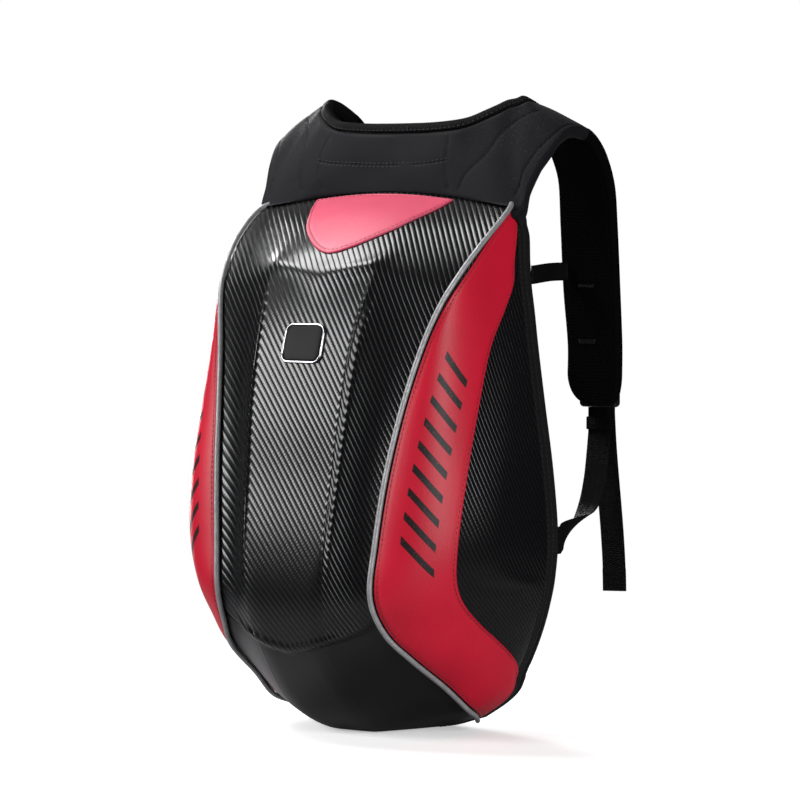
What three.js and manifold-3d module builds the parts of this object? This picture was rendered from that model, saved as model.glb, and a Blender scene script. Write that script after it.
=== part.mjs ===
// Hard shell backpack: a moulded shell with two side panels, a gusset and a padded back,
// carried by a padded yoke with two shoulder straps.
// Millimetres, +Z up. The shell's rim lies in the plane y = 0 and the shell stands out to -Y.
// Table columns are shares: x of HALF, y of DEPTH (shell) or REACH (harness), z of HEIGHT.
import * as THREE from "three";
import ManifoldModule from "manifold-3d";

const HEIGHT = 497;          // shell, foot to crown
const HALF = 168;            // shell, half its width
const DEPTH = 175;           // shell, rim plane to the furthest point of its front
const REACH = 160;           // harness, rim plane to the back of the straps
const SHELL_WALL = 2.5;
const GUSSET_DEPTH = 11;     // cloth band behind the shell's rim
const GUSSET_WALL = 3;
const EDGE_PIPING = 5;       // corded edge between gusset and back panel
const EDGE_PROUD = 1;        // how far the corded edge stands out past the rim
const BACK_PAD = 12;         // padded back panel
const BACK_INSET = 2;        // back panel, in from the rim
const BACK_BEVEL = 7;        // softened edge of the back panel
const PANEL_THICK = 1.4;     // side panels and top panel, leather-cloth on the shell
const PIPING_RADIUS = 2.4;   // grey piping beside the side panels
const PIPING_CLEAR = 3.4;    // from the shell's edge line to the side panel
const BADGE_WIDTH = 44;
const BADGE_HEIGHT = 35;
const BADGE_CORNER = 9;
const BADGE_FRAME = 1.8;     // width of the badge's frame
const BADGE_PROUD = 2.8;
const BADGE_LEVEL = 0.718;   // share of HEIGHT
const YOKE_THICK = 12;
const YOKE_SOFT = 2;         // how far the yoke and the pads swell at mid width
const BINDING_HEIGHT = 9;
const PAD_THICK = 12;
const PAD_END_LENGTH = 29;   // the pad's lower end narrows over this length
const PAD_END_INNER = 22;    // and by this much on its inner and outer side
const PAD_END_OUTER = 8;
const WEBBING = 25;
const WEBBING_THICK = 1.6;
const STABILIZER = 17;
const LOCK_WIDTH = 40;
const LOCK_HEIGHT = 31;
const LOCK_THICK = 9;
const LOCK_BAR = 5;          // bars of the ladder lock
const KEEPER_HEIGHT = 12;
const KEEPER_WALL = 1.2;
const HEM_LENGTH = 20;       // folded end of the loose webbing
const TAIL_LEAN = 13;        // how far the loose webbing hangs outwards at its end
const GAP = 0.3;             // air between neighbouring pieces

// frontY frontZ: middle line. spineX spineZ: edge of the raised spine. pipeX pipeY pipeZ: edge
// line with the piping. rimX rimZ: rim. bulge: roundness of the flank. groove: hollow beside
// the spine. panel: where the side panel ends on the flank, as a share of the flank.
const SHELL = [
  [0.000, 1.000, 0.250, 0.997, 0.762, 0.000, 0.972, 0.792, 0.938, 1.00, 0.000, 0.90],
  [-0.091, 0.986, 0.280, 0.982, 0.820, -0.126, 0.954, 0.810, 0.915, 0.90, 0.000, 0.93],
  [-0.354, 0.940, 0.321, 0.933, 0.810, -0.331, 0.899, 0.815, 0.869, 0.85, 0.000, 0.94],
  [-0.594, 0.879, 0.339, 0.870, 0.768, -0.503, 0.833, 0.825, 0.825, 0.85, 0.000, 0.94],
  [-0.686, 0.831, 0.333, 0.821, 0.720, -0.589, 0.783, 0.845, 0.779, 0.85, 0.011, 0.85],
  [-0.806, 0.724, 0.310, 0.722, 0.661, -0.663, 0.712, 0.872, 0.708, 0.82, 0.023, 0.72],
  [-0.886, 0.604, 0.298, 0.604, 0.601, -0.754, 0.604, 0.917, 0.604, 0.80, 0.029, 0.63],
  [-0.937, 0.483, 0.280, 0.483, 0.554, -0.834, 0.483, 0.970, 0.483, 0.80, 0.029, 0.55],
  [-0.989, 0.362, 0.262, 0.362, 0.518, -0.880, 0.362, 1.000, 0.366, 0.88, 0.029, 0.50],
  [-1.000, 0.272, 0.250, 0.272, 0.500, -0.897, 0.272, 0.983, 0.286, 1.06, 0.023, 0.52],
  [-0.966, 0.205, 0.232, 0.206, 0.524, -0.806, 0.207, 0.946, 0.229, 1.20, 0.017, 0.60],
  [-0.903, 0.149, 0.214, 0.150, 0.583, -0.663, 0.159, 0.901, 0.181, 1.25, 0.006, 0.72],
  [-0.720, 0.070, 0.226, 0.074, 0.620, -0.411, 0.101, 0.851, 0.141, 1.15, 0.000, 0.87],
  [-0.526, 0.022, 0.190, 0.025, 0.643, -0.240, 0.056, 0.821, 0.121, 1.15, 0.000, 0.94],
  [-0.343, 0.000, 0.167, 0.000, 0.619, -0.126, 0.038, 0.804, 0.109, 1.10, 0.000, 0.94],
  [0.000, 0.000, 0.321, 0.000, 0.548, 0.000, 0.024, 0.792, 0.101, 1.00, 0.000, 0.94],
];
const COUNTS = { shellSteps: 2, harnessSteps: 2 };   // rows made per table row

// Top panel's outline seen from above, right half: x, y (of DEPTH).
const TOP_PANEL = [
  [0.440, -0.116], [0.417, -0.183], [0.369, -0.274], [0.286, -0.406],
  [0.167, -0.520], [0.071, -0.577], [0.000, -0.594],
];

// Harness, right half from the middle over the shoulder to the strap's lower end: x y z of its
// outer edge, x y z of its neck edge, and how thick it is along the outer edge (mm). The yoke
// ends and the shoulder pad begins at row PAD_ROW.
const YOKE_ROWS = [
  [0.000, -0.060, 0.985, 0.000, 0.014, 1.121, 43],
  [0.238, -0.066, 0.984, 0.206, 0.016, 1.122, 43],
  [0.440, -0.070, 0.980, 0.364, 0.025, 1.126, 43],
  [0.609, -0.085, 0.970, 0.450, 0.067, 1.133, 38],
  [0.788, -0.102, 0.946, 0.520, 0.117, 1.145, 30],
  [0.874, -0.063, 0.959, 0.569, 0.165, 1.155, 20],
  [0.884, -0.006, 0.999, 0.601, 0.219, 1.164, 14],
  [0.913, 0.073, 1.042, 0.628, 0.273, 1.168, 12],
  [0.946, 0.188, 1.080, 0.639, 0.324, 1.173, 12],
  [0.950, 0.318, 1.104, 0.632, 0.400, 1.168, 12],
  [0.946, 0.445, 1.111, 0.624, 0.475, 1.158, 12],
  [0.942, 0.556, 1.106, 0.612, 0.556, 1.143, 12],
];
const STRAP_ROWS = [
  [0.944, 0.656, 1.089, 0.605, 0.640, 1.122, 12],
  [0.940, 0.762, 1.057, 0.594, 0.750, 1.078, 12],
  [0.931, 0.860, 1.004, 0.587, 0.852, 1.022, 12],
  [0.916, 0.917, 0.930, 0.567, 0.911, 0.934, 12],
  [0.914, 0.953, 0.809, 0.563, 0.953, 0.811, 12],
  [0.919, 0.968, 0.710, 0.583, 0.968, 0.710, 12],
  [0.919, 0.968, 0.652, 0.583, 0.968, 0.652, 12],
];
const HARNESS = [...YOKE_ROWS, ...STRAP_ROWS], PAD_ROW = YOKE_ROWS.length - 1;

// Webbings, right: x y z of the middle line, and how far the width has turned from lying
// across (0) to standing upright (1).
const LOWER_WEBBING = [
  [0.738, 1.010, 0.545, 0], [0.742, 0.985, 0.500, 0], [0.748, 0.945, 0.452, 0],
  [0.757, 0.875, 0.411, 0.1], [0.775, 0.750, 0.380, 0.3], [0.825, 0.530, 0.364, 0.7],
  [0.900, 0.330, 0.358, 1],
];
const STABILIZER_LINE = [
  [0.774, 0.280, 0.841], [0.720, 0.420, 0.842], [0.645, 0.640, 0.843],
];
const LOWER_END = [0.952, 0.354];      // x z where the lower webbing meets the back panel
const STABILIZER_ENDS = [0.786, 0.840, 0.610, 0.843];  // x z at the back panel, x z at the strap
const TAIL_END = 0.236;                // height of the loose webbing's end
const LOCK_LEVEL = 0.617;              // height of the ladder lock's middle
const KEEPER_LEVEL = 0.555;

const { Manifold, CrossSection, setup } = await ManifoldModule().then((m) => {
  m.setup();
  return m;
});

const V = (x, y, z) => new THREE.Vector3(x, y, z);

// Smooth line through rows of numbers, at t counted in rows.
function smooth(rows, t) {
  const i = Math.min(Math.floor(t), rows.length - 2), f = t - i;
  const a = rows[Math.max(i - 1, 0)], b = rows[i], c = rows[i + 1];
  const d = rows[Math.min(i + 2, rows.length - 1)];
  return b.map((_, k) => 0.5 * (2 * b[k] + (c[k] - a[k]) * f
    + (2 * a[k] - 5 * b[k] + 4 * c[k] - d[k]) * f * f
    + (3 * b[k] - a[k] - 3 * c[k] + d[k]) * f * f * f));
}

function resample(rows, steps) {
  const out = [];
  for (let k = 0; k <= (rows.length - 1) * steps; k++) out.push(smooth(rows, k / steps));
  return out;
}

// One row of shell points from the middle line to the rim, right half.
const COLUMN_NAMES = ["middle", "beside", "spine", "hollow", "hollow", "pipe", "seam", "panel1",
  "panel2", "panel", "outer1", "outer2", "rim"];
const SEAM_COLUMN = COLUMN_NAMES.indexOf("seam"), PANEL_COLUMN = COLUMN_NAMES.indexOf("panel");
const HALF_COLUMNS = COLUMN_NAMES.indexOf("rim");
function shellRow(t) {
  const [frontY, frontZ, spineX, spineZ, pipeX, pipeY, pipeZ, rimX, rimZ, bulge, groove, panel]
    = smooth(SHELL, t);
  const spine = V(spineX * HALF, frontY * DEPTH, spineZ * HEIGHT);
  const pipe = V(pipeX * HALF, pipeY * DEPTH, pipeZ * HEIGHT);
  const rim = V(rimX * HALF, 0, rimZ * HEIGHT);
  const flank = (share) => {
    const a = share * Math.PI / 2;
    return V(pipe.x + (rim.x - pipe.x) * Math.sin(a) ** bulge,
      pipe.y * Math.max(Math.cos(a), 0) ** bulge, pipe.z + (rim.z - pipe.z) * share);
  };
  const hollow = (k) => {
    const p = spine.clone().lerp(pipe, k);
    return p.setY(p.y + groove * DEPTH * Math.sin(Math.PI * k));
  };
  const middle = V(0, frontY * DEPTH, frontZ * HEIGHT);
  const beside = V(spine.x / 2, middle.y, middle.z + (spine.z - middle.z) / 4);
  let seam = 0;
  for (let step = 0.25; step > 0.0005; step /= 2) {
    if (pipe.distanceTo(flank(seam + step)) < PIPING_CLEAR) seam += step;
  }
  const shares = [seam, seam + (panel - seam) / 3, seam + (panel - seam) * 2 / 3, panel,
    panel + (1 - panel) / 3, panel + (1 - panel) * 2 / 3];
  return [middle, beside, spine, hollow(0.33), hollow(0.68), pipe,
    ...shares.map(flank), rim].map((p) => p.setZ(Math.max(p.z, 0)));
}

// The shell's outer surface as a grid of points, rows from crown to foot, columns from the
// left rim to the right rim, and the outward direction at each point.
const GRID = [];
for (let k = 0; k <= (SHELL.length - 1) * COUNTS.shellSteps; k++) {
  const right = shellRow(k / COUNTS.shellSteps);
  const left = right.slice(1).reverse().map((p) => V(-p.x, p.y, p.z));
  GRID.push([...left, ...right]);
}
const ROWS = GRID.length, COLUMNS = GRID[0].length;
const OUTWARD = GRID.map((row, i) => row.map((p, j) => {
  const up = GRID[Math.max(i - 1, 0)][j], down = GRID[Math.min(i + 1, ROWS - 1)][j];
  const left = row[Math.max(j - 1, 0)], right = row[Math.min(j + 1, COLUMNS - 1)];
  const n = V().crossVectors(down.clone().sub(up), right.clone().sub(left));
  if (i === 0 || i === ROWS - 1 || j === 0 || j === COLUMNS - 1) n.y = 0;
  return n.normalize();
}));

function shellPoint(i, j, offset) {
  const p = GRID[i][j].clone().addScaledVector(OUTWARD[i][j], offset);
  return p.setZ(Math.max(p.z, 0));
}

// The rim as a closed loop of points in the plane y = 0, and the outward direction there.
const LOOP = [];
for (let j = 0; j < COLUMNS - 1; j++) LOOP.push([0, j]);
for (let i = 0; i < ROWS - 1; i++) LOOP.push([i, COLUMNS - 1]);
for (let j = COLUMNS - 1; j > 0; j--) LOOP.push([ROWS - 1, j]);
for (let i = ROWS - 1; i > 0; i--) LOOP.push([i, 0]);
const RIM = LOOP.map(([i, j]) => GRID[i][j]);
const RIM_OUT = RIM.map((p, k) => {
  const a = RIM[(k + RIM.length - 1) % RIM.length], b = RIM[(k + 1) % RIM.length];
  return V(-(b.z - a.z), 0, b.x - a.x).normalize();
});

function rimLoop(offset, y) {
  return RIM.map((p, k) => {
    const q = p.clone().addScaledVector(RIM_OUT[k], offset).setY(y);
    return q.setZ(offset < 0 ? Math.max(q.z, -p.z) : Math.max(q.z, 0));
  });
}

// A closed body from points and faces.
function body(points, faces) {
  const geometry = new THREE.BufferGeometry();
  geometry.setAttribute("position",
    new THREE.Float32BufferAttribute(points.flatMap((p) => [p.x, p.y, p.z]), 3));
  geometry.setIndex(faces);
  geometry.computeVertexNormals();
  return geometry;
}

const quad = (a, b, c, d) => [a, b, c, a, c, d];

// A body between two grids of the same size: the outer one faces outward. Squares left of
// the column mirrorAt are split the other way, so that the two halves are mirror images.
function slab(outer, inner, mirrorAt = 0) {
  const rows = outer.length, cols = outer[0].length, n = rows * cols, faces = [];
  const at = (i, j) => i * cols + j;
  for (let i = 0; i < rows - 1; i++) {
    for (let j = 0; j < cols - 1; j++) {
      const ring = [at(i, j), at(i + 1, j), at(i + 1, j + 1), at(i, j + 1)];
      if (j < mirrorAt) ring.unshift(ring.pop());
      faces.push(...quad(...ring));
      faces.push(...quad(n + ring[0], n + ring[3], n + ring[2], n + ring[1]));
    }
  }
  const edge = [];
  for (let i = 0; i < rows - 1; i++) edge.push(at(i, 0));
  for (let j = 0; j < cols - 1; j++) edge.push(at(rows - 1, j));
  for (let i = rows - 1; i > 0; i--) edge.push(at(i, cols - 1));
  for (let j = cols - 1; j > 0; j--) edge.push(at(0, j));
  edge.forEach((a, k) => {
    const b = edge[(k + 1) % edge.length];
    faces.push(...quad(a, n + a, n + b, b));
  });
  return body([...outer.flat(), ...inner.flat()], faces);
}

// A sheet on the shell between two rows and two columns.
function onShell(rowA, rowB, colA, colB, low, high) {
  const grid = (offset) => {
    const out = [];
    for (let i = rowA; i <= rowB; i++) {
      out.push([]);
      for (let j = colA; j <= colB; j++) out.at(-1).push(shellPoint(i, j, offset));
    }
    return out;
  };
  return slab(grid(high), grid(low), Math.max(HALF_COLUMNS - colA, 0));
}

// A tube through rings of points; closed makes it run round, otherwise its ends are capped.
function tube(rings, closed = false) {
  const n = rings.length, m = rings[0].length, faces = [];
  for (let i = 0; i < (closed ? n : n - 1); i++) {
    for (let j = 0; j < m; j++) {
      const a = i * m, b = ((i + 1) % n) * m, k = (j + 1) % m;
      faces.push(...quad(a + j, a + k, b + k, b + j));
    }
  }
  if (!closed) {
    for (let j = 1; j < m - 1; j++) {
      faces.push(0, j + 1, j);
      faces.push((n - 1) * m, (n - 1) * m + j, (n - 1) * m + j + 1);
    }
  }
  return outward(body(rings.flat(), faces));
}

// Turns a body's faces so that they look out of it.
function outward(geometry) {
  const p = geometry.getAttribute("position"), index = geometry.getIndex().array;
  const corner = (k) => V().fromBufferAttribute(p, index[k]);
  let volume = 0;
  for (let k = 0; k < index.length; k += 3) {
    volume += corner(k).dot(corner(k + 1).cross(corner(k + 2)));
  }
  if (volume < 0) {
    for (let k = 0; k < index.length; k += 3) {
      [index[k + 1], index[k + 2]] = [index[k + 2], index[k + 1]];
    }
    geometry.computeVertexNormals();
  }
  return geometry;
}

// A ring between loops round the rim, given as [offset, y] corners.
function rimRing(corners) {
  const loops = corners.map(([offset, y]) => rimLoop(offset, y));
  return tube(RIM.map((_, k) => loops.map((loop) => loop[k])), true);
}

// A plate filling the rim, built up from loops given as [offset, y] from front to back.
function rimPlate(levels) {
  const loops = levels.map(([offset, y]) => rimLoop(offset, y));
  const m = RIM.length, last = (loops.length - 1) * m, faces = [], cap = [];
  const right = (i) => COLUMNS - 1 + i, left = (i) => (m - i) % m;
  for (let k = 1; k < COLUMNS - 1; k++) cap.push([0, k, k + 1]);
  for (let k = right(ROWS - 1); k < left(ROWS - 1) - 1; k++) cap.push([left(ROWS - 1), k, k + 1]);
  for (let i = 0; i < ROWS - 1; i++) {
    cap.push([left(i), right(i), right(i + 1)], [left(i), right(i + 1), left(i + 1)]);
  }
  cap.forEach(([a, b, c]) => faces.push(a, c, b, last + a, last + b, last + c));
  for (let i = 0; i < loops.length - 1; i++) {
    for (let j = 0; j < m; j++) {
      const k = (j + 1) % m;
      faces.push(...quad(i * m + j, i * m + k, (i + 1) * m + k, (i + 1) * m + j));
    }
  }
  return outward(body(loops.flat(), faces));
}

function toManifold(geometry) {
  return new Manifold({
    numProp: 3,
    vertProperties: Float32Array.from(geometry.getAttribute("position").array),
    triVerts: Uint32Array.from(geometry.getIndex().array),
  });
}

// The largest single piece of a boolean's result, as a body.
function fromManifold(solid) {
  const pieces = solid.decompose().sort((a, b) => b.volume() - a.volume());
  const mesh = pieces[0].getMesh(), points = [];
  for (let k = 0; k < mesh.vertProperties.length; k += mesh.numProp) {
    points.push(V(...mesh.vertProperties.slice(k, k + 3)));
  }
  return body(points, Array.from(mesh.triVerts));
}

// An outline of [x, y] points raised along z from low to high.
function prism(outline, low, high) {
  return new Manifold(
    CrossSection.ofPolygons([outline], "Positive").extrude(high - low).translate([0, 0, low])
      .getMesh());
}

function mirrored(geometry) {
  const copy = geometry.clone().applyMatrix4(new THREE.Matrix4().makeScale(-1, 1, 1));
  const index = copy.getIndex().array;
  for (let k = 0; k < index.length; k += 3) {
    [index[k + 1], index[k + 2]] = [index[k + 2], index[k + 1]];
  }
  copy.computeVertexNormals();
  return copy;
}

// Harness sections: outer edge, neck edge, the direction across and the outward direction.
function harnessSections() {
  const fine = resample(HARNESS, COUNTS.harnessSteps);
  const low = fine.map((r) => V(r[0] * HALF, r[1] * REACH, r[2] * HEIGHT));
  const neck = fine.map((r) => V(r[3] * HALF, r[4] * REACH, r[5] * HEIGHT));
  return fine.map((r, i) => {
    const a = Math.max(i - 1, 0), b = Math.min(i + 1, fine.length - 1);
    const along = low[b].clone().add(neck[b]).sub(low[a]).sub(neck[a]);
    if (i === 0) along.set(1, 0, 0);
    const across = neck[i].clone().sub(low[i]);
    const width = across.length();
    across.normalize();
    const out = V().crossVectors(along, across).normalize();
    return { low: low[i], across, out, width, base: r[6], along: along.normalize() };
  });
}

// A padded section: rounded edges, swollen middle. base is its thickness at the lower edge.
function paddedRing({ low, across, out, width }, thick, swell, base, trim = 0) {
  const w = width - trim, edge = thick * 0.28, inset = Math.min(thick * 0.4, w * 0.2);
  const deep = (share) => thick + (base - thick) * (1 - share) ** 3;
  const at = (s, d) => low.clone().addScaledVector(across, s).addScaledVector(out, d);
  return [at(0, -edge), at(inset, 0), at(w / 2, swell), at(w - inset, 0), at(w, -edge),
    at(w, edge - thick), at(w - inset, -thick), at(w / 2, -deep(0.5)),
    at(inset, -deep(inset / w)), at(0, -deep(0) + edge)];
}

// A flat strip along a line; turn 0 lays its width along x, 1 stands it upright.
function ribbon(line, turns, width, thick) {
  return tube(line.map((p, i) => {
    const a = line[Math.max(i - 1, 0)], b = line[Math.min(i + 1, line.length - 1)];
    const along = b.clone().sub(a).normalize();
    const angle = turns[i] * Math.PI / 2;
    const side = V(Math.cos(angle), 0, Math.sin(angle));
    side.addScaledVector(along, -side.dot(along)).normalize();
    const up = V().crossVectors(along, side);
    const at = (s, d) => p.clone().addScaledVector(side, s * width / 2)
      .addScaledVector(up, d * thick / 2);
    return [at(-1, -1), at(1, -1), at(1, 1), at(-1, 1)];
  }));
}

function box(x0, x1, y0, y1, z0, z1) {
  const geometry = new THREE.BoxGeometry(x1 - x0, y1 - y0, z1 - z0);
  geometry.deleteAttribute("uv");
  geometry.deleteAttribute("normal");
  geometry.translate((x0 + x1) / 2, (y0 + y1) / 2, (z0 + z1) / 2);
  return Manifold.cube([x1 - x0, y1 - y0, z1 - z0]).translate([x0, y0, z0]);
}

const piecesOut = [];
function piece(name, geometry, color, roughness, metalness = 0) {
  const mesh = new THREE.Mesh(geometry,
    new THREE.MeshStandardMaterial({ color, roughness, metalness }));
  mesh.name = name;
  piecesOut.push(mesh);
}
function pair(name, geometry, color, roughness, metalness = 0) {
  piece(`${name}_right`, geometry, color, roughness, metalness);
  piece(`${name}_left`, mirrored(geometry), color, roughness, metalness);
}

const BLACK = 0x17171a, CLOTH = 0x1f1f22, WEB = 0x141416, RED = 0xc8273f, PINK = 0xe8566f;
const GREY = 0x9c9c9c, SILVER = 0xc4c6c8;

// Shell: outer grid and an inner grid one wall further in, open at the back.
const inner = GRID.map((row, i) => row.map((p, j) => {
  const q = p.clone().addScaledVector(OUTWARD[i][j], -SHELL_WALL);
  return q.setZ(Math.max(q.z, p.z < SHELL_WALL ? SHELL_WALL : q.z));
}));
piece("shell", slab(GRID, inner, HALF_COLUMNS), BLACK, 0.35);

// Side panels and piping follow the shell's own columns.
const middle = HALF_COLUMNS;
pair("side_panel", onShell(1, ROWS - 1, middle + SEAM_COLUMN, middle + PANEL_COLUMN,
  GAP, GAP + PANEL_THICK), RED, 0.45);
const bead = [];
for (let i = 1; i < ROWS; i++) {
  const j = middle + SEAM_COLUMN - 1;
  const a = GRID[i - 1][j], b = GRID[Math.min(i + 1, ROWS - 1)][j];
  const along = b.clone().sub(a).normalize(), up = OUTWARD[i][j];
  const side = V().crossVectors(along, up).normalize();
  const centre = shellPoint(i, j, PIPING_RADIUS + GAP);
  bead.push(Array.from({ length: 8 }, (_, k) => {
    const angle = (k + 0.5) * Math.PI / 4;
    return centre.clone().addScaledVector(side, PIPING_RADIUS * Math.cos(angle))
      .addScaledVector(up, PIPING_RADIUS * Math.sin(angle));
  }));
}
pair("reflective_piping", tube(bead), GREY, 0.4);

// Top panel: a sheet on the crown, cut to its outline as seen from above.
const crown = toManifold(onShell(1, 8, middle - 4, middle + 4, GAP, GAP + PANEL_THICK));
const topOutline = [...TOP_PANEL.map(([x, y]) => [x * HALF, y * DEPTH]),
  ...TOP_PANEL.slice(0, -1).reverse().map(([x, y]) => [-x * HALF, y * DEPTH])].reverse();
piece("top_panel", fromManifold(crown.intersect(prism(topOutline, 0, HEIGHT * 1.1))), PINK, 0.45);

// Badge: a bare plate in a thin frame on the spine.
const front = toManifold(onShell(8, 12, middle - 2, middle + 2, GAP, GAP + BADGE_PROUD));
const frontLow = toManifold(onShell(8, 12, middle - 2, middle + 2, GAP, GAP + BADGE_PROUD * 0.7));
function roundedPrism(inset) {
  const w = BADGE_WIDTH / 2 - inset, h = BADGE_HEIGHT / 2 - inset, r = BADGE_CORNER - inset;
  const outline = [];
  [[1, 1, 0], [-1, 1, 1], [-1, -1, 2], [1, -1, 3]].forEach(([sx, sy, q]) => {
    for (let k = 0; k <= 4; k++) {
      const angle = (q + k / 4) * Math.PI / 2;
      outline.push([sx * (w - r) + r * Math.cos(angle), sy * (h - r) + r * Math.sin(angle)]);
    }
  });
  return prism(outline, 0, 2 * DEPTH).rotate([90, 0, 0])
    .translate([0, 0, BADGE_LEVEL * HEIGHT]);
}
piece("badge_frame", fromManifold(front.intersect(roundedPrism(0))
  .subtract(roundedPrism(BADGE_FRAME))), SILVER, 0.3, 1);
piece("badge_plate", fromManifold(frontLow.intersect(roundedPrism(BADGE_FRAME + GAP))), BLACK, 0.4);

// Gusset, corded edge and back panel, one behind the other.
const pipingY = GUSSET_DEPTH + GAP, padY = pipingY + EDGE_PIPING + GAP, backY = padY + BACK_PAD;
piece("gusset_band", rimRing([[0, GAP], [0, GUSSET_DEPTH], [-GUSSET_WALL, GUSSET_DEPTH],
  [-GUSSET_WALL, GAP]]), CLOTH, 0.8);
piece("edge_piping", rimRing([[0, pipingY], [EDGE_PROUD, pipingY + EDGE_PIPING * 0.3],
  [EDGE_PROUD, pipingY + EDGE_PIPING * 0.7], [0, pipingY + EDGE_PIPING],
  [-GUSSET_WALL, pipingY + EDGE_PIPING], [-GUSSET_WALL, pipingY]]), CLOTH, 0.7);
piece("back_panel", rimPlate([[-BACK_INSET, padY], [-BACK_INSET, padY + BACK_PAD * 0.5],
  [-BACK_INSET - BACK_BEVEL * 0.4, padY + BACK_PAD * 0.85],
  [-BACK_INSET - BACK_BEVEL, backY]]), CLOTH, 0.9);

// Yoke: padded sections from the left strap to the right strap, fitted over the crown.
const sections = harnessSections();
const yokeHalf = sections.slice(0, PAD_ROW * COUNTS.harnessSteps + 1);
const yokeRings = yokeHalf.map((s) => paddedRing(s, YOKE_THICK, YOKE_SOFT,
  Math.max(s.base, YOKE_THICK), BINDING_HEIGHT + 2 * GAP));
const flip = (ring) => ring.map((p) => V(-p.x, p.y, p.z));
const bothWays = (rings) => [...rings.slice(1).reverse().map(flip), ...rings];
const seatOver = (j) => {
  const column = Math.abs(j - HALF_COLUMNS);
  if (column === SEAM_COLUMN || column === SEAM_COLUMN - 1) return 2 * (3 * GAP + PIPING_RADIUS);
  return column > SEAM_COLUMN && column <= PANEL_COLUMN ? 2 * GAP + PANEL_THICK : GAP;
};
const shellSeat = GRID.map((row, i) => row.map((_, j) => shellPoint(i, j, seatOver(j))));
const backSeat = shellSeat.map((row) => row.map((p) => V(p.x, backY + 2 * YOKE_THICK, p.z)));
const room = toManifold(slab(shellSeat, backSeat, HALF_COLUMNS)).add(toManifold(rimPlate(
  [[EDGE_PROUD + GAP, GUSSET_DEPTH], [EDGE_PROUD + GAP, padY]])));
piece("yoke", fromManifold(toManifold(tube(bothWays(yokeRings))).subtract(room)), CLOTH, 0.85);

// Binding along the neck edge of the yoke.
const bindingRings = yokeHalf.map(({ low, across, out, width }) => {
  const at = (s, d) => low.clone().addScaledVector(across, width - BINDING_HEIGHT + s)
    .addScaledVector(out, d);
  const t = YOKE_THICK, h = BINDING_HEIGHT;
  return [at(0, -1), at(0, 1 - t), at(h * 0.7, 1 - t), at(h, -t * 0.7), at(h, -t * 0.3),
    at(h * 0.7, -1)];
});
piece("neck_binding", tube(bothWays(bindingRings)), WEB, 0.9);

// Shoulder pads: from the seam behind the shoulder to a rounded lower end.
const strapSections = sections.slice(PAD_ROW * COUNTS.harnessSteps);
const padRings = strapSections.map((s, i) => {
  const start = i === 0 ? GAP : 0;
  const moved = { ...s, low: s.low.clone().addScaledVector(s.along, start) };
  return paddedRing(moved, PAD_THICK, YOKE_SOFT, PAD_THICK);
});
const lastPad = strapSections.at(-1);
for (const share of [0.4, 0.7, 0.88, 0.98]) {
  const narrow = 1 - Math.sqrt(1 - share * share);
  padRings.push(paddedRing({ ...lastPad,
    width: lastPad.width - (PAD_END_INNER + PAD_END_OUTER) * narrow,
    low: lastPad.low.clone().addScaledVector(lastPad.across, PAD_END_OUTER * narrow)
      .addScaledVector(lastPad.along, PAD_END_LENGTH * share) },
  PAD_THICK, YOKE_SOFT, PAD_THICK));
}
pair("strap_pad", tube(padRings), CLOTH, 0.85);

// Ladder lock: a plate with two slots on the back of the pad's lower end.
const lockX = LOWER_WEBBING[0][0] * HALF, lockZ = LOCK_LEVEL * HEIGHT;
const lockY = lastPad.low.y + YOKE_SOFT + GAP;
const slotHalf = WEBBING / 2 + 1;
const slotHeight = (LOCK_HEIGHT - 3 * LOCK_BAR) / 2;
const slot = (z0) => box(lockX - slotHalf, lockX + slotHalf, lockY - 1, lockY + LOCK_THICK + 1,
  z0, z0 + slotHeight);
const lockLow = lockZ - LOCK_HEIGHT / 2;
pair("ladder_lock", fromManifold(box(lockX - LOCK_WIDTH / 2, lockX + LOCK_WIDTH / 2, lockY,
  lockY + LOCK_THICK, lockLow, lockLow + LOCK_HEIGHT)
  .subtract(slot(lockLow + LOCK_BAR))
  .subtract(slot(lockLow + 2 * LOCK_BAR + slotHeight))), BLACK, 0.4);

// Lower webbing: from under the ladder lock to the back panel's lower corner.
const webY = lockY + LOCK_THICK / 2;
const lowerRows = [[lockX, webY, lockLow - GAP, 0],
  [lockX, webY, (KEEPER_LEVEL * HEIGHT) - KEEPER_HEIGHT / 2 - 2, 0],
  ...LOWER_WEBBING.slice(1).map((r) => [r[0] * HALF, r[1] * REACH, r[2] * HEIGHT, r[3]]),
  [LOWER_END[0] * HALF, backY + GAP + 6, LOWER_END[1] * HEIGHT, 1],
  [LOWER_END[0] * HALF, backY + GAP, LOWER_END[1] * HEIGHT, 1]];
const lowerFine = [lowerRows[0], ...resample(lowerRows.slice(1, -1), 2), lowerRows.at(-1)];
pair("lower_webbing", ribbon(lowerFine.map((r) => V(r[0], r[1], r[2])),
  lowerFine.map((r) => r[3]), WEBBING, WEBBING_THICK), WEB, 0.9);

// Keeper: a short sleeve round the lower webbing below the lock.
const keeperZ = KEEPER_LEVEL * HEIGHT - KEEPER_HEIGHT / 2;
const keeperHalf = WEBBING / 2 + GAP, keeperDeep = WEBBING_THICK / 2 + GAP;
pair("strap_keeper", fromManifold(box(lockX - keeperHalf - KEEPER_WALL,
  lockX + keeperHalf + KEEPER_WALL, webY - keeperDeep - KEEPER_WALL,
  webY + keeperDeep + KEEPER_WALL, keeperZ, keeperZ + KEEPER_HEIGHT)
  .subtract(box(lockX - keeperHalf, lockX + keeperHalf, webY - keeperDeep, webY + keeperDeep,
    keeperZ - 1, keeperZ + KEEPER_HEIGHT + 1))), WEB, 0.9);

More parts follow.
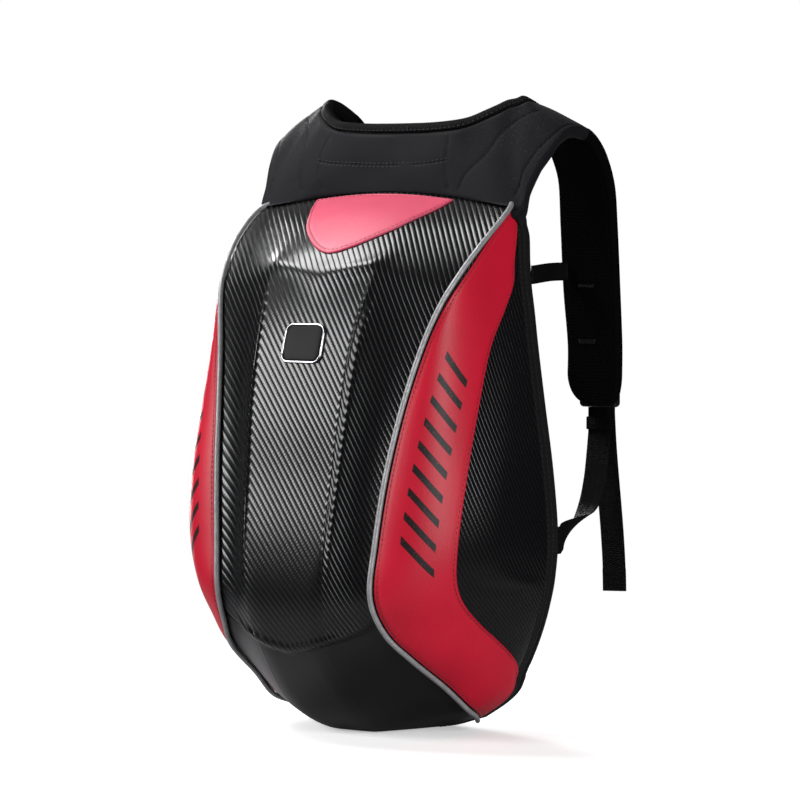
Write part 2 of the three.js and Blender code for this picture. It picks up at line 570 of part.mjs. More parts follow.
// Loose webbing: hangs from the back of the lock and ends in a folded hem.
const tailY = Math.max(lockY + LOCK_THICK, webY + keeperDeep + KEEPER_WALL)
  + GAP + WEBBING_THICK;
const tailTop = lockLow + LOCK_HEIGHT, tailLow = TAIL_END * HEIGHT;
const tailRing = (z, thick) => {
  const x = lockX + TAIL_LEAN * Math.max(lockLow - z, 0) / (lockLow - tailLow);
  return [V(x - WEBBING / 2, tailY - thick / 2, z), V(x + WEBBING / 2, tailY - thick / 2, z),
    V(x + WEBBING / 2, tailY + thick / 2, z), V(x - WEBBING / 2, tailY + thick / 2, z)];
};
pair("tail_webbing", tube([tailRing(tailTop, WEBBING_THICK * 2), tailRing(lockLow,
  WEBBING_THICK * 2), tailRing(lockLow - 3, WEBBING_THICK),
tailRing(tailLow + HEM_LENGTH + 2, WEBBING_THICK), tailRing(tailLow + HEM_LENGTH,
  WEBBING_THICK * 2), tailRing(tailLow, WEBBING_THICK * 2)]), WEB, 0.9);

// Stabilizer: from the back panel to the front face of the shoulder pad.
const [packX, packZ, strapX, strapZ] = STABILIZER_ENDS;
const padFront = (z) => {
  const i = strapSections.findIndex((s, k) => k > 0 && s.low.z < z);
  const a = strapSections[i - 1], b = strapSections[i];
  const face = (s) => s.low.clone().addScaledVector(s.across, s.width)
    .addScaledVector(s.out, -PAD_THICK);
  return face(a).lerp(face(b), (a.low.z - z) / (a.low.z - b.low.z)).y;
};
const strapFront = padFront(strapZ * HEIGHT + STABILIZER / 2 + 1) - GAP;
const stabilizerLine = [V(packX * HALF, backY + GAP, packZ * HEIGHT),
  V(packX * HALF, backY + GAP + 4, packZ * HEIGHT),
  ...STABILIZER_LINE.slice(1).map((r) => V(r[0] * HALF, r[1] * REACH, r[2] * HEIGHT)),
  V(strapX * HALF, strapFront - 4, strapZ * HEIGHT), V(strapX * HALF, strapFront, strapZ * HEIGHT)];
pair("stabilizer", ribbon(stabilizerLine, stabilizerLine.map(() => 1), STABILIZER,
  WEBBING_THICK), WEB, 0.9);

const group = new THREE.Group();
group.name = "hard_shell_backpack";
piecesOut.forEach((mesh) => group.add(mesh));
const whole = new THREE.Box3().setFromObject(group);
group.position.set(0, -(whole.min.y + whole.max.y) / 2, -whole.min.z);
group.updateMatrixWorld(true);

export default group;
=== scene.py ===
"""Hard shell backpack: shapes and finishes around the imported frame.

Tables are in millimetres in the shell's own frame: the rim lies in the plane y = 0, the shell
stands out to -Y and the foot stands on z = 0. metres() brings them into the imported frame.
"""
import logging
import math
from dataclasses import dataclass, field
from enum import Enum
from functools import lru_cache

import bmesh
import bpy
import numpy as np
from bpy.types import Material, Mesh, Node, NodeSocket, NodeTree, Object
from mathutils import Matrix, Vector
from mathutils.bvhtree import BVHTree


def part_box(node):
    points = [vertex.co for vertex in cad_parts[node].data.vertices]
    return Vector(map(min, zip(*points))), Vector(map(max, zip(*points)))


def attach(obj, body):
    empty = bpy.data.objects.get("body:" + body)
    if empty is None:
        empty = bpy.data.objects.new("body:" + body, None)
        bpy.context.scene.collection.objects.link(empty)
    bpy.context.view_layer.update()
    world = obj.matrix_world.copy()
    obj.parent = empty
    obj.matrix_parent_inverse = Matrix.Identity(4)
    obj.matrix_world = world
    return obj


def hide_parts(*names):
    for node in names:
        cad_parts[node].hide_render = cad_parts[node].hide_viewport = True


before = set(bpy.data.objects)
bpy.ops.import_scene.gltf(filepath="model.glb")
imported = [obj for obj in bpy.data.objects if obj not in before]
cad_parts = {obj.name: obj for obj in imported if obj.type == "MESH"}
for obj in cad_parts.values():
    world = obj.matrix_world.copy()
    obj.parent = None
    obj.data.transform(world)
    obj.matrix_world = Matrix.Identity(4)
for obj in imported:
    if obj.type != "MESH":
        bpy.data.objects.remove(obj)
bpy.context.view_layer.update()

LOG = logging.getLogger("backpack")
Array = np.ndarray

GAP = 0.3                                             # air between neighbouring pieces
RIM_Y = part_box("gusset_band")[0].y * 1000 - GAP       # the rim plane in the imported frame
HALF, DEPTH, HEIGHT = 168.0, 175.0, 497.0             # half width, depth, height of the shell
REACH = 160.0                                         # how far the straps stand behind the rim
BACK_Y = 28.6                                         # the back panel's rear face
FOOT, EDGE = 15.0, 3.0                                # last row t and last share s of the shell
YOKE_END, STRAP_END = 11.0, 18.0                      # last rows of yoke and strap
SEWN_IN = 3.2                                         # the panels' stitches from their edges
ABOVE, AHEAD = 700.0, -400.0                          # where rays onto crown and spine start


class Slot(Enum):
    """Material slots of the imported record."""

    SHELL = "shell_twill"
    RED = "panel_red"
    PINK = "panel_pink"
    PIPING = "piping_grey"
    BADGE = "badge_black"
    TRIM = "badge_silver"
    CLOTH = "cloth_black"
    MESH = "mesh_black"
    WEBBING = "webbing_black"
    BUCKLE = "buckle_black"


class Side(Enum):
    """The two sides of the backpack, with the sign of x."""

    RIGHT = 1
    LEFT = -1

    @property
    def label(self) -> str:
        """The side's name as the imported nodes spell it."""
        return self.name.lower()


def metres(points: Array) -> Array:
    """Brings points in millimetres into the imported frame."""
    return (np.asarray(points, float) + [0.0, RIM_Y, 0.0]) * 0.001


def smoothstep(low: float, high: float, x: Array) -> Array:
    """Rises smoothly from 0 at low to 1 at high."""
    k = np.clip((np.asarray(x, float) - low) / (high - low), 0, 1)
    return k * k * (3 - 2 * k)


def through(rows: Array, t: Array) -> Array:
    """Evaluates a smooth line through rows of numbers.

    Args:
        rows: one row of values for each whole number of t.
        t: where to evaluate, counted in rows.

    Returns:
        The values at t, with one more axis than t.
    """
    rows = np.asarray(rows, float)
    t = np.asarray(t, float)
    i = np.clip(np.floor(t).astype(int), 0, len(rows) - 2)
    f = (t - i)[..., None]
    a, b = rows[np.maximum(i - 1, 0)], rows[i]
    c, d = rows[i + 1], rows[np.minimum(i + 2, len(rows) - 1)]
    return 0.5 * (2 * b + (c - a) * f + (2 * a - 5 * b + 4 * c - d) * f * f
                  + (3 * b - a - 3 * c + d) * f ** 3)


def bell(x: Array, middle: float | Array, width: float) -> Array:
    """A smooth hump of height 1 around a middle."""
    return np.exp(-((x - middle) / width) ** 2)


def unit(v: Array) -> Array:
    """Scales vectors to length 1."""
    return v / np.maximum(np.linalg.norm(v, axis=-1, keepdims=True), 1e-9)


def arc(points: Array, axis: int) -> Array:
    """Distance travelled along one axis of a grid of points.

    Args:
        points: the grid.
        axis: the axis.

    Returns:
        The distances, from 0.
    """
    step = np.linalg.norm(np.diff(points, axis=axis), axis=-1)
    pad = [(0, 0), (0, 0)]
    pad[axis] = (1, 0)
    return np.cumsum(np.pad(step, pad), axis=axis)


def spaced(loop: Array, count: int) -> Array:
    """Evenly spaced points round a closed loop.

    Args:
        loop: its corners, the first one not repeated.
        count: how many points.

    Returns:
        The points, the first one on the loop's first corner.
    """
    closed = np.concatenate([loop, loop[:1]])
    far = arc(closed[:, None], 0)[:, 0]
    where = np.linspace(0, far[-1], count, endpoint=False)
    return np.stack([np.interp(where, far, values) for values in closed.T], -1)


def srgb(red: int, green: int, blue: int) -> tuple[float, float, float, float]:
    """A colour given as 0 to 255 on screen, as the linear colour that shaders read."""
    linear = [((c / 255 + 0.055) / 1.055) ** 2.4 if c > 10 else c / 255 / 12.92
              for c in (red, green, blue)]
    return (*linear, 1.0)


# -------- meshes

@dataclass
class Draft:
    """Points, faces and values of a mesh in the making, in millimetres.

    Attributes:
        name: the object's name.
        points: blocks of points.
        uv: blocks of cloth coordinates in metres, one for each point.
        values: blocks of named values, one for each point.
        faces: corner numbers of each face.
    """

    name: str
    points: list[Array] = field(default_factory=list)
    uv: list[Array] = field(default_factory=list)
    values: dict[str, list[Array]] = field(default_factory=dict)
    faces: list[tuple[int, ...]] = field(default_factory=list)
    count: int = 0

    def add_points(self, points: Array, uv: Array | None = None, **values: Array) -> int:
        """Adds points.

        Args:
            points: any array of points, its last axis x, y, z.
            uv: cloth coordinates in millimetres, or None for x and z.
            values: named values of the same shape as the points.

        Returns:
            The number of the first point added.
        """
        flat = np.asarray(points, float).reshape(-1, 3)
        start = self.count
        self.points.append(flat)
        self.uv.append((flat[:, [0, 2]] if uv is None
                        else np.asarray(uv, float).reshape(-1, 2)) * 0.001)
        for name, value in values.items():
            blocks = self.values.setdefault(name, [np.zeros(start)] if start else [])
            blocks.append(np.broadcast_to(value, np.shape(points)[:-1]).reshape(-1))
        self.count += len(flat)
        for name, blocks in self.values.items():
            if name not in values:
                blocks.append(np.zeros(len(flat)))
        return start

    def add_grid(self, points: Array, uv: Array | None = None, wrap: bool = False,
                 **values: Array) -> int:
        """Adds a grid of points with its faces.

        Args:
            points: rows of columns of points.
            uv: cloth coordinates in millimetres.
            wrap: True joins the last column to the first.
            values: named values of the same shape.

        Returns:
            The number of the first point added.
        """
        rows, cols = points.shape[:2]
        start = self.add_points(points, uv, **values)
        for i in range(rows - 1):
            for j in range(cols if wrap else cols - 1):
                a, b = start + i * cols + j, start + i * cols + (j + 1) % cols
                self.faces.append((a, b, b + cols, a + cols))
        return start

    def add_fan(self, first: int, count: int, centre: Array) -> None:
        """Closes a ring of points with triangles to its centre.

        Args:
            first: the number of the ring's first point.
            count: how many points it has.
            centre: the point in the middle.
        """
        middle = self.add_points(np.asarray([centre]))
        for k in range(count):
            self.faces.append((first + k, first + (k + 1) % count, middle))

    def add_wall(self, front: int, back: int, count: int) -> None:
        """Joins two rings of points with faces.

        Args:
            front: the number of the first ring's first point.
            back: the number of the second ring's first point.
            count: how many points each has.
        """
        for j in range(count):
            q = (j + 1) % count
            self.faces.append((front + j, front + q, back + q, back + j))

    def add_tube(self, rings: Array, uv: Array | None = None, **values: Array) -> None:
        """Adds a tube with closed ends.

        Args:
            rings: sections of points.
            uv: cloth coordinates in millimetres.
            values: named values of the same shape.
        """
        start = self.add_grid(rings, uv, wrap=True, **values)
        cols = rings.shape[1]
        last = start + (len(rings) - 1) * cols
        self.add_fan(start, cols, rings[0].mean(0))
        self.add_fan(last, cols, rings[-1].mean(0))

    def add_slab(self, outer: Array, inner: Array, uv: Array | None = None,
                 **values: Array) -> None:
        """Adds a closed sheet between two grids of the same size.

        Args:
            outer: the grid that shows.
            inner: the grid behind it.
            uv: cloth coordinates of both, in millimetres.
            values: named values of both.
        """
        rows, cols = outer.shape[:2]
        a = self.add_grid(outer, uv, **values)
        b = self.add_grid(inner, uv, **values)
        edge = ([(i, 0) for i in range(rows - 1)] + [(rows - 1, j) for j in range(cols - 1)]
                + [(i, cols - 1) for i in range(rows - 1, 0, -1)]
                + [(0, j) for j in range(cols - 1, 0, -1)])
        for k, (i, j) in enumerate(edge):
            p, q = edge[(k + 1) % len(edge)]
            self.faces.append((a + i * cols + j, a + p * cols + q,
                               b + p * cols + q, b + i * cols + j))

    def finish(self, cover: "Finish", sharp: float) -> Object:
        """Makes the object, with outward normals and smooth shading.

        Args:
            cover: its finish.
            sharp: edges that turn more than this many degrees stay sharp.

        Returns:
            The new object, at the origin.
        """
        mesh = bpy.data.meshes.new(self.name)
        mesh.from_pydata(metres(np.concatenate(self.points)).tolist(), [], self.faces)
        layer = mesh.uv_layers.new(name="Cloth")
        corners = np.zeros(len(mesh.loops), int)
        mesh.loops.foreach_get("vertex_index", corners)
        layer.data.foreach_set("uv", np.concatenate(self.uv)[corners].ravel())
        for name, blocks in self.values.items():
            mesh.attributes.new(name, "FLOAT", "POINT").data.foreach_set(
                "value", np.concatenate(blocks).astype(np.float32))
        return placed(tidied(mesh), self.name, dressed(cover), sharp)


def tidied(mesh: Mesh, weld: float = 1e-6) -> Mesh:
    """Welds a mesh's doubled points, drops its empty faces and turns its faces outwards.

    Args:
        mesh: the mesh, which is changed.
        weld: how near points are the same, metres.

    Returns:
        The same mesh.
    """
    work = bmesh.new()
    work.from_mesh(mesh)
    bmesh.ops.remove_doubles(work, verts=work.verts, dist=weld)
    bmesh.ops.dissolve_degenerate(work, edges=work.edges, dist=weld)
    bmesh.ops.recalc_face_normals(work, faces=work.faces)
    work.to_mesh(mesh)
    work.free()
    return mesh


def placed(mesh: Mesh, name: str, material: Material,
           sharp: float = 45.0) -> Object:
    """Puts a mesh in the scene as an object at the origin.

    Args:
        mesh: the mesh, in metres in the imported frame.
        name: the object's name.
        material: its finish.
        sharp: edges that turn more than this many degrees stay sharp.

    Returns:
        The object.
    """
    mesh.materials.clear()
    mesh.materials.append(material)
    mesh.shade_smooth()
    mesh.set_sharp_from_angle(angle=math.radians(sharp))
    thing = bpy.data.objects.new(name, mesh)
    bpy.context.scene.collection.objects.link(thing)
    return thing


def settle(piece: Object, slot: Slot, *nodes: str) -> Object:
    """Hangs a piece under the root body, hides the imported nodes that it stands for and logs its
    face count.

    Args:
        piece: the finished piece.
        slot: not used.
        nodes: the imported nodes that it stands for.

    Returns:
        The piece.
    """
    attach(piece, "root")
    if nodes:
        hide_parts(*nodes)
    LOG.info("%s: %d faces", piece.name, len(piece.data.polygons))
    return piece


# -------- node trees

class Wiring:
    """Adds nodes to a tree and joins them."""

    def __init__(self, tree: NodeTree) -> None:
        """Keeps the tree that it works on."""
        self.tree = tree

    def node(self, kind: str, **settings: object) -> Node:
        """Adds a node and sets its properties."""
        made = self.tree.nodes.new(kind)
        for name, value in settings.items():
            setattr(made, name, value)
        return made

    def feed(self, socket: NodeSocket, value: object) -> None:
        """Links a socket, or sets its number."""
        if isinstance(value, NodeSocket):
            self.tree.links.new(value, socket)
        else:
            socket.default_value = value

    def call(self, kind: str, feeds: dict[str, object], **settings: object) -> Node:
        """Adds a node and feeds its named inputs."""
        made = self.node(kind, **settings)
        for name, value in feeds.items():
            self.feed(made.inputs[name], value)
        return made

    def math(self, operation: str, *values: object, clamp: bool = False) -> NodeSocket:
        """Adds a Math node."""
        made = self.node("ShaderNodeMath", operation=operation, use_clamp=clamp)
        for socket, value in zip(made.inputs, values):
            self.feed(socket, value)
        return made.outputs[0]

    def blend(self, factor: object, low: object, high: object) -> NodeSocket:
        """Mixes two numbers."""
        made = self.node("ShaderNodeMix", data_type="FLOAT")
        for k, value in ((0, factor), (2, low), (3, high)):
            self.feed(made.inputs[k], value)
        return made.outputs[0]

    def tint(self, factor: object, low: object, high: object) -> NodeSocket:
        """Mixes two colours."""
        made = self.node("ShaderNodeMix", data_type="RGBA")
        for k, value in ((0, factor), (6, low), (7, high)):
            self.feed(made.inputs[k], value)
        return made.outputs[2]

    def rise(self, value: object, low: float, high: float) -> NodeSocket:
        """Rises smoothly from 0 at low to 1 at high."""
        made = self.node("ShaderNodeMapRange", interpolation_type="SMOOTHSTEP")
        for k, number in enumerate((value, low, high, 0.0, 1.0)):
            self.feed(made.inputs[k], number)
        return made.outputs[0]

    def noise(self, vector: object, scale: float, detail: float = 3.0) -> NodeSocket:
        """Adds a noise texture and returns its value."""
        made = self.call("ShaderNodeTexNoise",
                         {"Vector": vector, "Scale": scale, "Detail": detail})
        return made.outputs[0]

    def parts(self, vector: object) -> tuple[NodeSocket, ...]:
        """Splits a vector into x, y and z."""
        return tuple(self.call("ShaderNodeSeparateXYZ", {"Vector": vector}).outputs)

    def radius(self, x: object, y: object) -> NodeSocket:
        """The length of a vector in the plane."""
        return self.math("SQRT", self.math("ADD", self.math("MULTIPLY", x, x),
                                           self.math("MULTIPLY", y, y)))

    def group(self, tree: NodeTree, **feeds: object) -> Node:
        """Adds a shader group; underscores in the names stand for spaces."""
        made = self.node("ShaderNodeGroup", node_tree=tree)
        for name, value in feeds.items():
            self.feed(made.inputs[name.replace("_", " ")], value)
        return made


def new_tree(kind: str, name: str, inputs: dict[str, tuple[str, object]],
             outputs: dict[str, str]) -> tuple[NodeTree, Wiring, Node,
                                               Node]:
    """Starts a node group with named sockets.

    Args:
        kind: the tree's type.
        name: the tree's name.
        inputs: kind of socket and default value of each input.
        outputs: kind of socket of each output.

    Returns:
        The tree, its wiring, its input node and its output node.
    """
    tree = bpy.data.node_groups.new(name, kind)
    for label, (sort, value) in inputs.items():
        socket = tree.interface.new_socket(label, in_out="INPUT",
                                           socket_type="NodeSocket" + sort)
        if value is not None:
            socket.default_value = value
    for label, sort in outputs.items():
        tree.interface.new_socket(label, in_out="OUTPUT", socket_type="NodeSocket" + sort)
    wiring = Wiring(tree)
    return tree, wiring, wiring.node("NodeGroupInput"), wiring.node("NodeGroupOutput")


@lru_cache(None)
def weave_group() -> NodeTree:
    """A plain weave of round threads, with uneven yarn."""
    tree, w, start, end = new_tree(
        "ShaderNodeTree", "plain_weave",
        {"Vector": ("Vector", None), "Thread": ("Float", 0.001)},
        {"Height": "Float", "Tone": "Float"})
    x, y, z = w.parts(start.outputs["Vector"])
    turn = [w.math("DIVIDE", w.math("MULTIPLY", a, math.pi), start.outputs["Thread"])
            for a in (x, w.math("ADD", y, z))]
    waves = [w.math("SINE", a) for a in turn]
    height = w.math("MULTIPLY_ADD", w.math("MULTIPLY", *waves), 0.5, 0.5)
    yarn = w.noise(start.outputs["Vector"], 420.0, 2.0)
    w.feed(end.inputs["Height"], w.math("MULTIPLY_ADD", yarn, 0.35, height))
    w.feed(end.inputs["Tone"], w.noise(start.outputs["Vector"], 38.0, 4.0))
    return tree


@lru_cache(None)
def grain_group() -> NodeTree:
    """The pebbled grain of coated leather cloth."""
    tree, w, start, end = new_tree(
        "ShaderNodeTree", "leather_grain",
        {"Vector": ("Vector", None), "Pebble": ("Float", 0.0012)},
        {"Height": "Float", "Tone": "Float"})
    scale = w.math("DIVIDE", 1.0, start.outputs["Pebble"])
    cells = w.call("ShaderNodeTexVoronoi", {"Vector": start.outputs["Vector"], "Scale": scale})
    soft = w.noise(start.outputs["Vector"], 260.0, 3.0)
    w.feed(end.inputs["Height"], w.math("MULTIPLY_ADD", soft, 0.6,
                                        w.math("SUBTRACT", 1.0, cells.outputs["Distance"])))
    w.feed(end.inputs["Tone"], w.noise(start.outputs["Vector"], 14.0, 3.0))
    return tree


@lru_cache(None)
def handling_group() -> NodeTree:
    """Light handling marks: a faint cloudiness and fine dust that lies on upward faces."""
    tree, w, start, end = new_tree(
        "ShaderNodeTree", "handling_marks",
        {"Vector": ("Vector", None), "Amount": ("Float", 1.0)},
        {"Cloud": "Float", "Dust": "Float"})
    cloud = w.noise(start.outputs["Vector"], 9.0, 4.0)
    specks = w.rise(w.noise(start.outputs["Vector"], 640.0, 1.0), 0.62, 0.78)
    up = w.parts(w.node("ShaderNodeNewGeometry").outputs["Normal"])[2]
    lying = w.math("MULTIPLY", w.rise(up, 0.1, 0.9), specks)
    w.feed(end.inputs["Cloud"], w.math("MULTIPLY", w.math("SUBTRACT", cloud, 0.5),
                                       start.outputs["Amount"]))
    w.feed(end.inputs["Dust"], w.math("MULTIPLY", lying, start.outputs["Amount"], clamp=True))
    return tree


# -------- finishes

@dataclass(frozen=True)
class Finish:
    """A finish: a procedural material of the backpack.

    Attributes:
        name: the material's name.
        colour: its main colour, linear.
        roughness: its mean roughness.
    """

    name: str
    colour: tuple[float, float, float, float]
    roughness: float

    def start(self, **constants: object) -> tuple[Material, Wiring, Node]:
        """Starts the material, its constants set on the shader's own sockets.

        Args:
            constants: socket names with underscores for spaces, and their numbers.

        Returns:
            The material, its wiring and its shader.
        """
        material = bpy.data.materials.new(self.name)
        material.use_nodes = True
        shader = material.node_tree.nodes["Principled BSDF"]
        for name, value in constants.items():
            shader.inputs[name.replace("_", " ")].default_value = value
        return material, Wiring(material.node_tree), shader

    def relief(self, w: Wiring, shader: Node, height: object, depth: float) -> None:
        """Feeds a bump of so many metres to the shader's normal."""
        bump = w.call("ShaderNodeBump", {"Height": height, "Distance": depth, "Strength": 1.0})
        w.feed(shader.inputs["Normal"], bump.outputs[0])

    def handled(self, w: Wiring, shader: Node, amount: float, cloud: float) -> None:
        """Feeds the roughness, clouded by handling marks.

        Args:
            w: the material's wiring.
            shader: its shader.
            amount: how strong the marks are.
            cloud: how much of them goes into the roughness.
        """
        marks = w.group(handling_group(), Vector=self.place(w), Amount=amount)
        w.feed(shader.inputs["Roughness"], w.math(
            "MULTIPLY_ADD", marks.outputs["Cloud"], cloud, self.roughness))

    def shaded(self, w: Wiring, tone: object, spread: float) -> NodeSocket:
        """The colour, lighter and darker by a tone that runs around one half."""
        dark = tuple(c * (1 - spread) for c in self.colour[:3]) + (1.0,)
        light = tuple(min(c * (1 + spread), 1.0) for c in self.colour[:3]) + (1.0,)
        return w.tint(w.rise(tone, 0.3, 0.7), dark, light)

    def place(self, w: Wiring) -> NodeSocket:
        """Object coordinates."""
        return w.node("ShaderNodeTexCoord").outputs["Object"]

    def cloth(self, w: Wiring) -> NodeSocket:
        """The piece's own cloth coordinates, in metres."""
        return w.node("ShaderNodeUVMap", uv_map="Cloth").outputs[0]

    def value(self, w: Wiring, name: str) -> NodeSocket:
        """A value that the mesh carries at its points."""
        return w.node("ShaderNodeAttribute", attribute_name=name).outputs["Fac"]


@dataclass(frozen=True)
class TwillVinyl(Finish):
    """Embossed twill on the shell, smooth satin where the value called twill is 0."""

    pitch_across: float = 0.0063
    pitch_down: float = 0.0083
    smooth_colour: tuple[float, float, float, float] = srgb(15, 15, 17)

    def material(self) -> Material:
        """Builds the material."""
        made, w, shader = self.start(Specular_IOR_Level=0.44)
        x, y, _ = w.parts(self.cloth(w))
        phase = w.math("SUBTRACT", w.math("DIVIDE", x, self.pitch_across),
                       w.math("DIVIDE", y, self.pitch_down))
        across = w.math("ADD", w.math("DIVIDE", x, self.pitch_across * 0.62),
                        w.math("DIVIDE", y, self.pitch_down * 0.48))
        share = w.math("FRACT", w.math("ADD", phase, 400.0))
        ridge = w.math("SINE", w.math("MULTIPLY", share, math.pi))
        cord = w.math("POWER", ridge, 0.55)
        tow = w.math("SINE", w.math("MULTIPLY", across, 2 * math.pi))
        height = w.math("MULTIPLY_ADD", tow, 0.03, cord)
        twill = self.value(w, "twill")
        grain = w.group(grain_group(), Vector=self.place(w), Pebble=0.0014)
        marks = w.group(handling_group(), Vector=self.place(w), Amount=0.6)
        fibre = w.noise(self.cloth(w), 900.0, 1.0)
        # Painted shade and highlight: the colour is near-black in the twill's valleys and rises to
        # the main colour on its ridges, following the cord's height; fibre flecks are mixed in
        # after.
        twill_painted_shade = w.tint(w.rise(cord, 0.35, 0.95), (0.003, 0.003, 0.0035, 1), self.colour)
        twill_painted_shade = w.tint(w.math("MULTIPLY", fibre, 0.25), twill_painted_shade, (0.012, 0.012, 0.013, 1))
        base = w.tint(twill, self.smooth_colour, twill_painted_shade)
        w.feed(shader.inputs["Base Color"],
               w.tint(w.math("MULTIPLY", marks.outputs["Dust"], 0.10), base,
                      (0.35, 0.34, 0.33, 1)))
        rough = w.blend(twill, 0.36, w.blend(cord, self.roughness + 0.15, self.roughness))
        w.feed(shader.inputs["Roughness"],
               w.math("MULTIPLY_ADD", marks.outputs["Cloud"], 0.12, rough))
        pebble = w.math("MULTIPLY", grain.outputs["Height"], 0.05)
        self.relief(w, shader, w.blend(twill, pebble, height), 0.0004)
        return made


@dataclass(frozen=True)
class PanelLeather(Finish):
    """Coated leather cloth, with a plain row of slanted bars when bars is True."""

    bars: bool = False
    pitch: float = 0.0215
    slant: float = -0.020
    first_bar: int = 7
    last_bar: int = 16

    def material(self) -> Material:
        """Builds the material."""
        made, w, shader = self.start(Specular_IOR_Level=0.35)
        grain = w.group(grain_group(), Vector=self.place(w), Pebble=0.0011)
        marks = w.group(handling_group(), Vector=self.place(w), Amount=0.8)
        colour = self.shaded(w, grain.outputs["Tone"], 0.06)
        # Painted shade: the colour darkens towards 55 per cent of itself at the panel's very edge
        # and in its stitch groove, by the value called edge.
        edge = self.value(w, "edge")
        deep = tuple(c * 0.55 for c in self.colour[:3]) + (1.0,)
        colour = w.tint(w.math("MULTIPLY", edge, 0.75), colour, deep)
        rough = w.math("MULTIPLY_ADD", marks.outputs["Cloud"], 0.2, self.roughness)
        if self.bars:
            across = self.value(w, "across")
            lean = w.math("MULTIPLY_ADD", across, self.slant, w.parts(self.cloth(w))[1])
            share = w.math("FRACT", w.math("DIVIDE", lean, self.pitch))
            bar, room = (w.math("MULTIPLY", w.rise(value, low, low + soft),
                                w.math("SUBTRACT", 1.0, w.rise(value, high, high + soft)))
                         for value, low, high, soft in ((share, 0.10, 0.44, 0.03),
                                                        (across, 0.27, 0.70, 0.015)))
            run = w.math("MULTIPLY", w.math("GREATER_THAN", lean, self.pitch * self.first_bar),
                         w.math("LESS_THAN", lean, self.pitch * self.last_bar))
            ink = w.math("MULTIPLY", w.math("MULTIPLY", bar, room), run)
            worn = w.math("MULTIPLY", ink, w.rise(w.noise(self.place(w), 900.0), 0.28, 0.36))
            colour = w.tint(worn, colour, srgb(22, 16, 18))
            rough = w.blend(worn, rough, 0.5)
        dusty = w.tint(w.math("MULTIPLY", marks.outputs["Dust"], 0.08), colour,
                       (0.8, 0.75, 0.74, 1))
        w.feed(shader.inputs["Base Color"], dusty)
        w.feed(shader.inputs["Roughness"], rough)
        self.relief(w, shader, grain.outputs["Height"], 0.00012)
        return made


@dataclass(frozen=True)
class Cloth(Finish):
    """Woven cloth, with painted shade along its sewn grooves where the value called seam is 1."""

    thread: float = 0.0011
    depth: float = 0.00025
    sheen: float = 0.25

    def material(self) -> Material:
        """Builds the material."""
        made, w, shader = self.start(Specular_IOR_Level=0.14, Sheen_Weight=self.sheen,
                                     Sheen_Roughness=0.5)
        weave = w.group(weave_group(), Vector=self.cloth(w), Thread=self.thread)
        marks = w.group(handling_group(), Vector=self.place(w), Amount=1.0)
        colour = self.shaded(w, weave.outputs["Tone"], 0.10)
        lint = w.tint(w.math("MULTIPLY", marks.outputs["Dust"], 0.25), colour,
                      (0.16, 0.16, 0.165, 1))
        # Painted shade: the colour darkens towards near-black along the sewn grooves, by the value
        # called seam.
        seam = w.math("MULTIPLY", self.value(w, "seam"), 0.85, clamp=True)
        w.feed(shader.inputs["Base Color"], w.tint(seam, lint, (0.004, 0.004, 0.004, 1)))
        w.feed(shader.inputs["Roughness"], w.math(
            "MULTIPLY_ADD", weave.outputs["Height"], -0.08, self.roughness))
        self.relief(w, shader, weave.outputs["Height"], self.depth)
        return made


@dataclass(frozen=True)
class AirMesh(Finish):
    """Spacer mesh: rows of small holes in a knitted face."""

    hole: float = 0.0034
    row_step: float = 0.866

    def material(self) -> Material:
        """Builds the material."""
        made, w, shader = self.start(Specular_IOR_Level=0.05, Sheen_Weight=0.0)
        x, y, _ = w.parts(self.cloth(w))
        row = w.math("DIVIDE", y, self.hole * self.row_step)
        odd = w.math("FLOOR", w.math("MODULO", row, 2.0))
        column = w.math("ADD", w.math("DIVIDE", x, self.hole), w.math("MULTIPLY", odd, 0.5))
        du, dv = (w.math("SUBTRACT", w.math("FRACT", w.math("ADD", count, 900.0)), 0.5)
                  for count in (column, row))
        wall = w.rise(w.radius(du, dv), 0.18, 0.34)
        knit = w.group(weave_group(), Vector=self.cloth(w), Thread=0.0007)
        colour = w.tint(wall, (0.002, 0.002, 0.002, 1),
                        self.shaded(w, knit.outputs["Tone"], 0.2))
        # Painted shade: the colour darkens towards near-black along the sewn grooves and air
        # channels, by the value called seam.
        seam = w.math("MULTIPLY", self.value(w, "seam"), 0.8, clamp=True)
        colour = w.tint(seam, colour, (0.003, 0.003, 0.003, 1))
        w.feed(shader.inputs["Base Color"], colour)
        self.handled(w, shader, 1.0, 0.1)
        self.relief(w, shader, w.math("MULTIPLY_ADD", knit.outputs["Height"], 0.15, wall),
                    0.0006)
        return made


@dataclass(frozen=True)
class RibbedWebbing(Finish):
    """Flat webbing: cross ribs with two woven edges."""

    rib: float = 0.0016
    width: float = 0.025

    def material(self) -> Material:
        """Builds the material."""
        made, w, shader = self.start(Specular_IOR_Level=0.1, Sheen_Weight=0.0)
        x, y, _ = w.parts(self.cloth(w))
        lean = w.math("ABSOLUTE", w.math("SUBTRACT", w.math("FRACT", w.math(
            "DIVIDE", x, self.width / 4)), 0.5))
        rib = w.math("SINE", w.math("MULTIPLY", w.math("ADD", w.math("DIVIDE", y, self.rib),
                                                       lean), 2 * math.pi))
        yarn = w.math("SINE", w.math("MULTIPLY", x, 2 * math.pi / 0.0011))
        height = w.math("MULTIPLY_ADD", yarn, 0.2, rib)
        fuzz = w.noise(self.place(w), 300.0, 3.0)
        colour = w.tint(w.rise(rib, -0.8, 0.6), (0.002, 0.002, 0.0025, 1),
                        self.shaded(w, fuzz, 0.15))
        w.feed(shader.inputs["Base Color"], colour)
        self.handled(w, shader, 0.8, 0.2)
        self.relief(w, shader, height, 0.00022)
        return made


